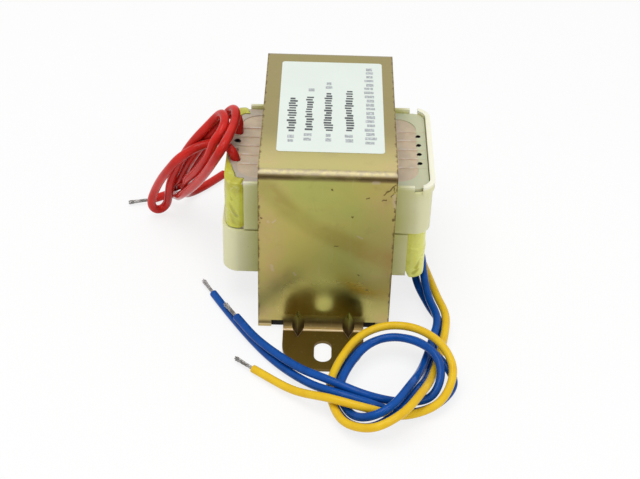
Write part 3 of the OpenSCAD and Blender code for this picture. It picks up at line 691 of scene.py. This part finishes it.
def bracket_finish(s):
    """Yellow passivated zinc on rolled steel: gold film, greener in the middle and tan towards the cut edges,
    a brown run across the front, rusty edges, pits, chips and a few scratches, dark feet, and glossier low on
    the legs. Painted highlights: a tint along the two top bends and a thin pale line just above the feet.
    Painted dark reflections: a band under the rounded top front edge and the foot colour carried up the
    foot bends."""
    f = Finish("passivated_steel_finish", Metallic=1.0, Coat_Roughness=0.16)
    across, along = f.calc("ABSOLUTE", f.x), f.calc("ABSOLUTE", f.y)
    cloud = f.patches(85.0, 0.35, 0.65)
    f.tint = f.mix(f.patches(34.0, 0.34, 0.66), s.gold, s.green)
    f.lay(s.tan, f.zone(across, 7, HALF_STACK), f.span(cloud, 0.0, 1.0, 0.45, 1.0))
    f.lay(FILM_STAIN, f.patches(150.0, 0.55, 0.75), 0.22)
    run = f.mix(f.zone(f.x, -2, 18), s.run, s.run_end)
    f.lay(run, f.marks(FRONT_RUN, FRONT), f.span(cloud, 0.0, 1.0, 0.35, 0.6))
    upper = f.zone(f.z, TOP, TOP + 0.7)
    f.lay(TOP_BRIGHT, upper, 0.5)
    f.lay(s.top, upper, f.zone(f.y, -30, -10), 0.75)
    clear = f.times(f.zone(f.z, 4, 5.6), f.zone(f.z, 30, 9), f.zone(across, 18.5, 10))
    f.lay(s.foot, clear, 0.12)
    # Painted dark reflection: the foot colour runs up the foot bends, and a darker band lies across them.
    f.lay(s.foot, f.zone(f.z, STEEL + 4.2, STEEL + 1.2), f.zone(across, FOOT_HALF, FOOT_HALF - 0.9))
    f.lay(FOOT_BEND_DARK_REFLECTION, f.zone(f.z, STEEL + 2.2, STEEL + 0.9), f.zone(f.z, STEEL + 0.2, STEEL + 0.6), 0.8)
    # Painted highlight: a thin pale line just above the feet, along the foot bends.
    f.lay(s.chip_and_foot_glint, f.zone(f.z, STEEL + 0.01, STEEL + 0.04), f.zone(f.z, STEEL + 0.22, STEEL + 0.12), 0.85)
    # Painted highlight: a mottled tint along the two top bends colours the lamp highlight there and adds
    # roughness.
    bend = f.times(f.zone(f.z, TOP - 0.5, TOP + 0.3), f.zone(along, HALF_DEPTH - 1.8, HALF_DEPTH - 0.8))
    f.lay(s.bend, bend, f.span(f.grain(700.0, 3.0), 0.38, 0.62, 0.6, 1.0))
    # Painted dark reflection: a brown band along the lower side of the rounded top front edge.
    under = f.times(f.zone(f.z, TOP - 1.9, TOP - 0.9), f.zone(f.z, TOP + 0.4, TOP - 0.1))
    f.lay(s.rust_and_dark_band, under, f.calc("LESS_THAN", f.y, 0.0), f.span(cloud, 0.0, 1.0, 0.85, 0.6))

    shake = f.put("TexNoise", {"Vector": f.place, "Scale": 900.0, "Detail": 2.0}).outputs["Color"]
    shake = f.vector("SCALE", {0: f.vector("SUBTRACT", {0: shake, 1: (0.5, 0.5, 0.5)}), "Scale": 1.1 * MM})
    shaken = f.vector("ADD", {0: f.place, 1: shake})
    nibbled = f.calc("ADD", across, f.times(f.grain(520.0, 3.0, 0.6), 2.2 * MM))
    edge = f.zone(nibbled, HALF_STACK + 0.5, HALF_STACK + 1.2)
    pits = f.times(f.specks(260.0, 0.15, 0.07), f.zone(across, 12, 18))
    worn = f.calc("MAXIMUM", edge, f.calc("MAXIMUM", pits, f.marks(FRONT_PITS, FRONT, shaken)))
    f.lay(s.chip_and_foot_glint, f.marks(FRONT_CHIPS, FRONT, shaken), 0.38)
    f.lay(s.rust_and_dark_band, worn, 0.7)
    f.lay(FILM_SCRATCH, f.effect("scratches", scale=1100.0, amount=0.4), 0.35)
    f.feed(f.shader.inputs["Coat Weight"], f.span(worn, 0.0, 1.0, 0.12, 0.0))
    rough = f.span(clear, 0.0, 1.0, 0.38, 0.16, "LINEAR")
    rough = f.calc("ADD", rough, f.uneven(f.grain(260.0, 3.0, 0.5), 0.0, 0.07))
    rough = f.calc("ADD", rough, f.times(f.calc("MAXIMUM", worn, f.times(bend, 0.35)), 0.3))
    wave = f.calc("ADD", f.times(f.grain(110.0, 2.0), 0.5), f.times(worn, -0.8))
    return f.done(rough, wave, 0.16, 0.0003)


def core_finish(s):
    """Edges of stacked electrical sheet: thin lines across the stack, grey with rusty brown clouds, and
    painted shade towards the bottom.
    """
    f = Finish("lamination_finish", Metallic=0.85)
    half_sheet = 0.25 * MM
    line = f.zone(f.calc("PINGPONG", f.x, half_sheet), 0.02, 0.12)
    cloud = f.patches(160.0, 0.45, 0.68)
    f.tint = f.mix(line, CORE_GAP, f.mix(cloud, s.core, CORE_RUST))
    # Painted shade: the core darkens towards its bottom, near the floor.
    f.lay(CORE_LOW_PAINTED_SHADE, f.zone(f.z, 6, 3))
    return f.done(f.span(cloud, 0.0, 1.0, 0.38, 0.7), line, 0.5, 0.0002)


def cover_finish(s):
    """Moulded natural nylon: paler at the free end and deeper towards the core, with flow clouds and a fine
    grain."""
    f = Finish("cover_nylon_finish", Specular_IOR_Level=0.45, Subsurface_Weight=0.25, Subsurface_Scale=0.004,
               Subsurface_Radius=(1.0, 0.9, 0.5))
    cloud = f.patches(60.0, 0.3, 0.7)
    drift = f.times(f.calc("SUBTRACT", cloud, 0.5), 0.22)
    reach = f.calc("ADD", f.zone(f.calc("ABSOLUTE", f.x), 18.5, 28.5), drift, clamp=True)
    f.tint = f.mix(reach, s.nylon_deep, s.nylon)
    f.lay(COVER_RIM, f.zone(f.z, 42.4, 43.4), reach)
    f.lay(COVER_SOIL, f.specks(520.0, 0.13, 0.05), 0.5)
    grain = f.grain(2600.0, 2.0)
    return f.done(f.uneven(grain, 0.36, 0.50), f.calc("ADD", grain, f.times(cloud, 3.0)), 0.10, 0.0002)


def former_finish(s):
    """Coil former: pinkish sunk panels over the winding with thin ribs painted pale as their highlight, a creamy
    rim round them, upright faces painted paler to lift their shade, faint scuffs and painted shade in the
    lead holes."""
    f = Finish("former_nylon_finish", Subsurface_Weight=0.15, Subsurface_Scale=0.002)
    across, along = f.calc("ABSOLUTE", f.x), f.calc("ABSOLUTE", f.y)
    half_pitch, hole_x, hole_wide, hole_narrow = 2.45 * MM, 27.4 * MM, 1.05 * MM, 0.78 * MM
    pitched = f.calc("PINGPONG", f.y, half_pitch)
    f.tint = f.mix(f.patches(240.0, 0.35, 0.68), s.former, dimmed(s.former, 0.86))
    # Painted highlight: the ribs are drawn pale, unevenly.
    rib = f.times(f.zone(pitched, 0.36, 0.24), f.calc("LESS_THAN", along, 10.3 * MM))
    f.lay(RIB_PAINTED_HIGHLIGHT, rib, f.span(f.grain(380.0, 2.0), 0.42, 0.62, 0.0, 0.8))
    out_x = f.calc("MAXIMUM", f.calc("SUBTRACT", across, 20.9 * MM), 0.0)
    out_y = f.calc("MAXIMUM", f.calc("SUBTRACT", along, 11.0 * MM), 0.0)
    f.lay(f.mix(f.zone(f.x, -1, 1), RIM_GREY, s.rim), f.zone(f.far(out_x, out_y), 5.6, 6.2))
    # Painted light: upright faces, such as the rib sides, are drawn paler to lift their shade.
    normal = f.put("SeparateXYZ", {0: f.put("NewGeometry").outputs["Normal"]}).outputs
    painted_flank_light = f.span(f.calc("ABSOLUTE", normal[2]), 0.3, 0.7, 0.7, 0.0)
    f.lay(FLANK_PAINTED_LIGHT, painted_flank_light, f.calc("LESS_THAN", along, 10.4 * MM))
    f.lay(FORMER_SCUFF, f.effect("scratches", scale=1200.0, amount=0.7), 0.4)
    # Painted shade: the lead holes are drawn dark.
    from_hole = f.far(f.calc("SUBTRACT", across, hole_x), f.calc("SUBTRACT", pitched, half_pitch))
    edge = f.span(f.x, -MM, MM, hole_wide, hole_narrow, "LINEAR")
    hole = f.times(f.calc("LESS_THAN", from_hole, edge), f.calc("LESS_THAN", along, 9.0 * MM))
    f.lay(HOLE_PAINTED_SHADE, hole, f.calc("GREATER_THAN", f.calc("MAXIMUM", f.x, f.y), 0.0))
    grain = f.grain(1900.0, 3.0)
    return f.done(f.uneven(grain, 0.32, 0.5), grain, 0.12, 0.0002)


def tape_finish(s):
    """Polyester tape: bright yellow-green film with deeper yellow clouds, glossy, finely creased, with painted
    shade along its folds and painted light on the lower tape, where the cover's shadow falls.
    """
    f = Finish("coil_tape_finish", Coat_Weight=0.25, Coat_Roughness=0.15)
    f.tint = f.mix(f.patches(120.0, 0.35, 0.65), s.tape, TAPE_DEEP)
    # Painted light: the lower tape, where the cover's shadow falls, is drawn lighter.
    f.lay(TAPE_LOW_PAINTED_LIGHT, f.zone(f.z, 27.5, 26.5), 0.6)
    f.lay(TAPE_PALE, f.patches(310.0, 0.56, 0.70), 0.5)
    # Painted shade along the folds, which are also lowered in the relief.
    fold = f.marks(TAPE_FOLDS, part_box("primary_tape")[0][1])
    f.lay(TAPE_FOLD_SHADE, fold, 0.6)
    crease = f.calc("SUBTRACT", f.grain(520.0, 3.0, 0.6, 0.8), fold)
    return f.done(f.uneven(crease, 0.22, 0.42), crease, 0.35, 0.0004)


def copper_finish(s):
    """Enamelled wire laid in turns: a fine ripple across the winding's height, and painted shade near its top
    and bottom, where it shows in the lead holes.
    """
    f = Finish("copper_wire_finish", Metallic=0.8)
    half_wire = 0.3
    turn = f.zone(f.calc("PINGPONG", f.z, half_wire * MM), 0.0, half_wire)
    f.tint = f.mix(turn, TURN_GAP, f.mix(f.patches(200.0, 0.4, 0.65), s.copper, COPPER_DEEP))
    low, high = box_mm("secondary_winding")[0][2], box_mm("primary_winding")[1][2]
    # Painted shade: the winding darkens near its top and bottom, where it shows in the lead holes.
    hole_shade = f.calc("MAXIMUM", f.zone(f.z, high - 0.5, high - 0.1), f.zone(f.z, low + 0.5, low + 0.1))
    f.lay(COPPER_PAINTED_SHADE, hole_shade)
    return f.done(f.span(hole_shade, 0.0, 1.0, 0.3, 0.8), turn, 0.6, 0.0003)


def label_finish(s):
    """Coated paper: pale cool white with faint cloud, fibre grain and a little dust."""
    f = Finish("label_stock_finish", Specular_IOR_Level=0.5)
    f.tint = f.mix(f.patches(70.0, 0.3, 0.7), s.paper, dimmed(s.paper, 0.97))
    f.lay(LABEL_DUST, f.specks(700.0, 0.12, 0.03), 0.35)
    grain = f.grain(3200.0, 3.0)
    return f.done(f.uneven(grain, 0.34, 0.46), grain, 0.06, 0.0001)


def ink_finish(name, tint):
    """Thermal print: dark bars with uneven coverage."""
    f = Finish(name)
    patchy = f.span(f.grain(1600.0, 3.0, 0.65), 0.42, 0.72, 0.0, 0.55)
    f.tint = f.mix(patchy, tint, [min(1.0, c * 2.2 + 0.12) for c in tint])
    return f.done(f.span(patchy, 0.0, 0.55, 0.5, 0.65), patchy, 0.05, 0.0001)


def insulation_finish(name, tint, share):
    """Soft PVC: even colour with slow clouds along the lead, dimmed by a share, a little dust and a smooth
    gloss."""
    f = Finish(name, Specular_IOR_Level=0.13)
    f.tint = f.mix(f.times(f.patches(140.0, 0.35, 0.7), 0.5), tint, dimmed(tint, share))
    f.lay(LEAD_DUST, f.specks(900.0, 0.14, 0.05), 0.25)
    grain = f.grain(1500.0, 3.0)
    uneven = f.calc("ADD", grain, f.times(f.grain(260.0, 2.0), 1.5))
    return f.done(f.uneven(grain, 0.11, 0.19), uneven, 0.05, 0.0003)


def tin_finish(s):
    """Tinned copper strands: dull grey metal with darker clouds."""
    f = Finish("tinned_copper_finish", Metallic=0.9)
    cloud = f.patches(500.0, 0.4, 0.65)
    f.tint = f.mix(cloud, s.tin, TIN_DEEP)
    return f.done(f.span(cloud, 0.0, 1.0, 0.32, 0.5), f.grain(2500.0, 2.0), 0.15, 0.0002)


def dress(finish, *nodes, edge=None):
    """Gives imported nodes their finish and, where an edge width is given, rounded edges."""
    for name in nodes:
        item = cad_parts[name]
        item.data.materials.clear()
        item.data.materials.append(finish)
        if edge:
            bevel = item.modifiers.new("rounded_edges", "BEVEL")
            bevel.width, bevel.segments = edge, 3
            bevel.limit_method, bevel.angle_limit = "ANGLE", math.radians(40)


# --------------------------------------------------------------------------- operators

def aimed(name, data, side, up, back, at):
    """Adds a camera or lamp at a place, turned by its three axes."""
    item = bpy.data.objects.new(name, data)
    matrix = np.eye(4)
    matrix[:3] = np.stack([side, up, back, at], 1)
    item.matrix_world = Matrix(matrix.tolist())
    bpy.context.scene.collection.objects.link(item)
    return item


class TRANSFORMER_OT_stage(bpy.types.Operator):
    """Builds the pale floor, the soft light and the camera"""
    bl_idname = "transformer.stage"
    bl_label = "Stage"

    def execute(self, context):
        s = context.scene.transformer_stage
        context.scene.view_settings.view_transform = "Standard"
        self.camera(context.scene, s)
        self.floor(s)
        self.card()
        self.light(context.scene, s)
        return {"FINISHED"}

    def camera(self, scene, s):
        """Looks along a heading tilted down and rolled about its own axis."""
        cam = bpy.data.cameras.new("photo_camera")
        cam.lens, cam.sensor_width, cam.sensor_fit = s.lens, 36.0, "HORIZONTAL"
        cam.clip_start, cam.clip_end = 0.01, 20.0
        cy, sy, cp, sp = math.cos(s.yaw), math.sin(s.yaw), math.cos(s.pitch), math.sin(s.pitch)
        ahead = np.array([sy * cp, cy * cp, -sp])
        right = np.array([cy, -sy, 0.0])
        up = np.cross(right, ahead)
        cr, sr = math.cos(s.roll), math.sin(s.roll)
        scene.camera = aimed("photo_camera", cam, cr * right + sr * up, -sr * right + cr * up, -ahead,
                             (s.distance_x, s.distance_y, s.distance_z))

    def sheet(self, name, corners, finish, count=9):
        """A flat backdrop: four corners blended over a grid of two parameters."""
        u, v = np.meshgrid(np.linspace(0, 1, count), np.linspace(0, 1, count), indexing="ij")
        a, b, c, d = (np.asarray(p, float) for p in corners)
        u, v = u[..., None], v[..., None]
        points = ((1 - u) * (1 - v) * a + u * (1 - v) * b + u * v * c + (1 - u) * v * d).reshape(-1, 3)
        mesh = bpy.data.meshes.new(name)
        mesh.from_pydata(points.tolist(), [], grid_quads(count, count)[:, ::-1].tolist())
        mesh.materials.append(finish)
        item = bpy.data.objects.new(name, mesh)
        bpy.context.scene.collection.objects.link(item)
        return item

    def floor(self, s):
        """Pale floor: matt under the light, mixed with plain white where a camera, glossy or clear ray meets
        it."""
        finish = bpy.data.materials.new("floor_paper")
        finish.use_nodes = True
        finish.node_tree.nodes.clear()
        n = Nodes(finish.node_tree)
        place = n.put("TexCoord").outputs["Object"]
        cloud = n.span(n.noise(place, 9.0, 3.0), 0.3, 0.7)
        matt = n.put("BsdfDiffuse", {"Color": n.mix(cloud, s.floor, dimmed(s.floor, 0.985))})
        white = n.put("Emission", {"Color": (1, 1, 1, 1), "Strength": 1.0})
        share = n.times(n.seen(), FLOOR_WHITE)
        both = n.put("MixShader", {0: share, 1: matt.outputs[0], 2: white.outputs[0]})
        n.put("OutputMaterial", {"Surface": both.outputs[0]})
        r, z = FLOOR_HALF, FLOOR_Z
        self.sheet("floor", ((-r, -r, z), (r, -r, z), (r, r, z), (-r, r, z)), finish)

    def card(self):
        """A dark card before the object, which only its reflections show."""
        dark = Finish("dark_card", Base_Color=CARD_DARK, Roughness=1.0)
        item = self.sheet("front_card", CARD, dark.material)
        item.visible_camera = item.visible_diffuse = item.visible_shadow = False

    def light(self, scene, s):
        """Light from all round, white where it is seen, a soft panel overhead and a weaker one in front."""
        world = bpy.data.worlds.new("studio")
        world.use_nodes = True
        world.node_tree.nodes.clear()
        n = Nodes(world.node_tree)
        strength = n.span(n.seen(), 0.0, 1.0, s.sky, 1.0, "LINEAR")
        glow = n.put("Background", {"Color": (1, 1, 1, 1), "Strength": strength})
        n.put("OutputWorld", {"Surface": glow.outputs[0]})
        scene.world = world
        for name, at, share, width in LAMPS:
            lamp = bpy.data.lights.new(name, "AREA")
            lamp.shape, lamp.size, lamp.energy = "DISK", width, s.key * share
            aim = unit(np.subtract(LAMP_AIM, at))
            side = unit(np.cross(aim, (0.0, 0.0, 1.0)))
            aimed(name, lamp, side, np.cross(side, aim), -aim, at)


def lay_lead(s, name, path, diameter, finish, stands_for, tip_node):
    """One insulated lead as a tube along its path, with the bare twisted end that it carries."""
    pvc = name.split("_")[0] + "_pvc"
    lead = new_piece(name, finish, pvc, *tube_surface(path, diameter / MM / 2, LEAD_SIDES))
    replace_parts(lead, *stands_for)
    direction = path[-1] - path[-HEADING_STATIONS]
    direction[2] = min(direction[2], 0.0) * 0.3
    tin = bpy.data.materials.get("tinned_copper_finish") or tin_finish(s)
    bare = twisted_tip(path[-1], direction, s.tip / MM, s.conductor / MM, s.strands)
    tip = new_piece(name.replace("lead", "tip"), tin, "tinned_copper", *bare)
    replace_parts(tip, tip_node)


class TRANSFORMER_OT_secondary_leads(bpy.types.Operator):
    """Lays the two blue leads and the yellow lead in their loose overhand knot"""
    bl_idname = "transformer.secondary_leads"
    bl_label = "Secondary leads"

    def execute(self, context):
        s = context.scene.transformer_leads
        blue = insulation_finish("blue_pvc_finish", s.blue, 0.55)
        yellow = insulation_finish("yellow_pvc_finish", s.yellow, (0.86, 0.72, 0.6))
        for name, route, finish, node in (("blue_lead_a", BLUE_FRONT_ROUTE, blue, "blue_{}_front"),
                                          ("blue_lead_b", BLUE_REAR_ROUTE, blue, "blue_{}_rear"),
                                          ("yellow_lead_a", YELLOW_ROUTE, yellow, "yellow_{}")):
            path = lead_path(route, lowest=s.diameter / MM / 2 + FLOOR_GAP)
            lay_lead(s, name, path, s.diameter, finish, [node.format("lead")], node.format("tip"))
        return {"FINISHED"}


class TRANSFORMER_OT_primary_leads(bpy.types.Operator):
    """Lays the two red leads in their hank beside the coil"""
    bl_idname = "transformer.primary_leads"
    bl_label = "Primary leads"

    def execute(self, context):
        s = context.scene.transformer_leads
        red = insulation_finish("red_pvc_finish", s.red, 0.5)
        gap, low = s.red_diameter / MM + STRAND_GAP, s.red_diameter / MM / 2 + FLOOR_GAP
        near, far = box_mm("primary_tape")
        paths = [lead_path(r, soften=1.4, lowest=low) for r in (RED_FRONT_ROUTE, RED_REAR_ROUTE)]
        front, rear = settle(paths, gap, low, (near[0] - WALL_GAP, far[2] + WALL_GAP))
        for name, path, nodes, tip in (
                ("red_lead_a", front, ["red_lead_front", "red_hank", "red_tail_right"], "red_tip_right"),
                ("red_lead_b", rear, ["red_lead_rear", "red_tail_left"], "red_tip_left")):
            lay_lead(s, name, path, s.red_diameter, red, nodes, tip)
        return {"FINISHED"}


class TRANSFORMER_OT_bracket(bpy.types.Operator):
    """Finishes the bent steel bracket"""
    bl_idname = "transformer.bracket"
    bl_label = "Bracket"

    def execute(self, context):
        dress(bracket_finish(context.scene.transformer_bracket), "frame_bracket")
        return {"FINISHED"}


class TRANSFORMER_OT_core(bpy.types.Operator):
    """Finishes the stacked core sheets"""
    bl_idname = "transformer.core"
    bl_label = "Core"

    def execute(self, context):
        dress(core_finish(context.scene.transformer_bracket), "e_laminations", "i_laminations")
        return {"FINISHED"}


class TRANSFORMER_OT_coil(bpy.types.Operator):
    """Finishes the coil former, the windings and the two covers"""
    bl_idname = "transformer.coil"
    bl_label = "Coil former and covers"

    def execute(self, context):
        s = context.scene.transformer_coil
        dress(former_finish(s), "bobbin")
        dress(copper_finish(s), "primary_winding", "secondary_winding")
        dress(cover_finish(s), "primary_cover", "secondary_cover", edge=s.edge)
        return {"FINISHED"}


class TRANSFORMER_OT_tapes(bpy.types.Operator):
    """Wraps the insulating tape round the two windings and over the flange rim at each open end"""
    bl_idname = "transformer.tapes"
    bl_label = "Tapes"

    def execute(self, context):
        s = context.scene.transformer_coil
        finish = tape_finish(s)
        self.band(s, finish, "primary_tape_a", "primary_tape",
                  end=-1, plain=27.55, rim=41.0, wrapped=42.85, seed=11)
        self.band(s, finish, "secondary_tape_a", "secondary_tape",
                  end=1, plain=26.05, rim=14.0, wrapped=11.3, seed=23)
        return {"FINISHED"}

    def band(self, s, finish, name, node, end, plain, rim, wrapped, seed):
        """A strip carried round a rounded rectangle. Across its height it runs from a plain edge to a rim
        edge. At the open end the rim edge goes on over the flange, the strip stands out by the wrap, and
        sines make its creases and its uneven edge; an outer layer ends in a slanting step. A second wall
        closes it inside."""
        count, left = TAPE_STATIONS, end < 0
        place, out = band_outline(TAPE_HALF_X, TAPE_HALF_Y, TAPE_CORNER, count)
        walk = np.arange(count) * TAPE_PACE
        opened = ease(end * place[:, 0], OPEN_FROM, OPEN_TO)
        half = box_mm("bobbin")[1] + s.tape_wrap / MM
        lift = rim_gap(place, half[0], half[1], RIM_CORNER) * opened
        sign = 1.0 if rim > plain else -1.0
        ragged = ripple(walk * 1.3, 0 * walk, seed)
        corner = ease(np.abs(place[:, 1]), 5.0, 19.0)
        ragged = 0.10 * ragged if left else 0.45 * ragged - 1.2 * ease(corner, 0.2, 0.7)
        edge = rim + opened * (wrapped - rim + ragged)
        start = plain - sign * OVERLAP * opened
        tall = lambda values: values[:, None]
        v = np.linspace(0, 1, TAPE_ROWS)[None, :]
        z = tall(start) + tall(edge - start) * v
        crease = ripple(tall(walk) * 0.9, z * 1.1, seed + 1)
        fold = np.abs(ripple(tall(walk) * 0.5, z * 0.7, seed + 2)) ** 0.5
        stand = tall(lift) + tall(opened) * (0.08 * crease - 0.10 * (1 - fold))
        slant = 32.3 - 0.5 * (place[:, 0] + 27.0) if left else 20.5 - 0.3 * (place[:, 0] - 27.0)
        stand = stand + TAPE_THICK * tall(opened) * ease(sign * (z - tall(slant)), -0.12, 0.12)
        if not left:
            stand = stand + 0.30 * tall(opened) * ease(v, 0.86, 1.0) * (1 + 0.8 * tall(ragged))
        lip = 0.25 * opened
        if left:
            lip = (0.35 + 3.5 * corner + 0.35 * ripple(walk, 0 * walk + 3, seed + 4)) * opened
        turn = np.linspace(0, 1, TAPE_LIP_ROWS)[1:][None, :]
        inset = stand[:, -1:] - tall(lip) * turn
        rise = sign * tall(opened) * (0.16 * np.sin(np.pi * turn) * (1 + 0.6 * crease[:, -1:]) - 0.2 * turn)
        back = np.minimum(stand - TAPE_THICK, tall(lift) - TAPE_THICK)
        wall = lambda off, z: np.concatenate(
            [place[:, None, :] + off[..., None] * out[:, None, :], z[..., None]], 2)
        inner = wall(back, z - sign * 0.28 * v * tall(opened))[:, ::-6]
        points = np.concatenate([wall(stand, z), wall(inset, tall(edge) + rise), inner], 1)
        columns = points.shape[1]
        points = points.reshape(-1, 3)
        u, v = np.arange(count + 1) * TAPE_TEXTURE, np.arange(columns + 1) * TAPE_TEXTURE
        quads, uv, _ = skin(points, count, columns, u, v, wrap_rows=True)
        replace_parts(new_piece(name, finish, "coil_tape", points, quads, uv), node)


class TRANSFORMER_OT_label(bpy.types.Operator):
    """Finishes the rating label and lays generic printed bars on it"""
    bl_idname = "transformer.label"
    bl_label = "Label"

    def execute(self, context):
        s = context.scene.transformer_label
        dress(label_finish(s), "rating_label")
        self.bars("label_bold_bars", BOLD_BARS, ink_finish("label_ink", s.ink), seed=5, pitch=1.35, gap=0.30)
        self.bars("label_faint_bars", FAINT_BARS, ink_finish("label_pale_ink", s.grey),
                  seed=9, pitch=2.3, gap=0.55)
        return {"FINISHED"}

    def bars(self, name, columns, finish, seed, pitch, gap):
        """Rows of small upright blocks along each printed column: block starts at equal pitches, widths and
        ends shifted by seeded amounts, all as one array of corner points just above the label."""
        rng = np.random.default_rng(seed)
        blocks = []
        for x, top, foot, width in columns:
            y1 = np.arange(top, foot + pitch * 0.6, -pitch)
            y0 = y1 - (pitch - gap) * rng.uniform(0.72, 1.0, len(y1))
            x0 = x - width / 2 + rng.uniform(0, 0.28, len(y1)) * width
            x1 = x + width / 2 - rng.uniform(0, 0.28, len(y1)) * width
            blocks.append(np.stack([x0, y0, x1, y1], 1))
        b = np.vstack(blocks)
        height = box_mm("rating_label")[1][2] + BAR_RAISE
        corners = np.stack([b[:, [0, 1]], b[:, [2, 1]], b[:, [2, 3]], b[:, [0, 3]]], 1).reshape(-1, 2)
        points = np.concatenate([corners, np.full((len(corners), 1), height)], 1)
        new_piece(name, finish, "label_stock", points, np.arange(len(points)).reshape(-1, 4), smooth=False)


class TRANSFORMER_PT_pieces(bpy.types.Panel):
    """Lists the pieces of the transformer"""
    bl_label = "Transformer"
    bl_idname = "TRANSFORMER_PT_pieces"
    bl_space_type = "VIEW_3D"
    bl_region_type = "UI"
    bl_category = "Transformer"

    def draw(self, context):
        for operator in OPERATORS:
            self.layout.operator(operator.bl_idname)
        for name in SETTINGS:
            group = getattr(context.scene, name)
            column = self.layout.column(align=True)
            for key in group.__annotations__:
                column.prop(group, key)


OPERATORS = (
    TRANSFORMER_OT_stage, TRANSFORMER_OT_secondary_leads, TRANSFORMER_OT_primary_leads, TRANSFORMER_OT_bracket,
    TRANSFORMER_OT_core, TRANSFORMER_OT_coil, TRANSFORMER_OT_tapes, TRANSFORMER_OT_label)
SETTINGS = {
    "transformer_leads": LeadSettings, "transformer_bracket": BracketSettings,
    "transformer_coil": CoilSettings, "transformer_label": LabelSettings,
    "transformer_stage": StageSettings}


def register():
    """Registers the settings, the operators and the panel."""
    for name, group in SETTINGS.items():
        bpy.utils.register_class(group)
        setattr(bpy.types.Scene, name, PointerProperty(type=group))
    for item in (*OPERATORS, TRANSFORMER_PT_pieces):
        bpy.utils.register_class(item)


def unregister():
    """Takes them away again in the opposite order."""
    for item in (TRANSFORMER_PT_pieces, *reversed(OPERATORS)):
        bpy.utils.unregister_class(item)
    for name, group in reversed(SETTINGS.items()):
        delattr(bpy.types.Scene, name)
        bpy.utils.unregister_class(group)


def main():
    """Builds the stage and every piece in order."""
    register()
    bpy.ops.transformer.stage()
    bpy.ops.transformer.secondary_leads()
    bpy.ops.transformer.primary_leads()
    bpy.ops.transformer.bracket()
    bpy.ops.transformer.core()
    bpy.ops.transformer.coil()
    bpy.ops.transformer.tapes()
    bpy.ops.transformer.label()


if __name__ == "__main__":
    main()
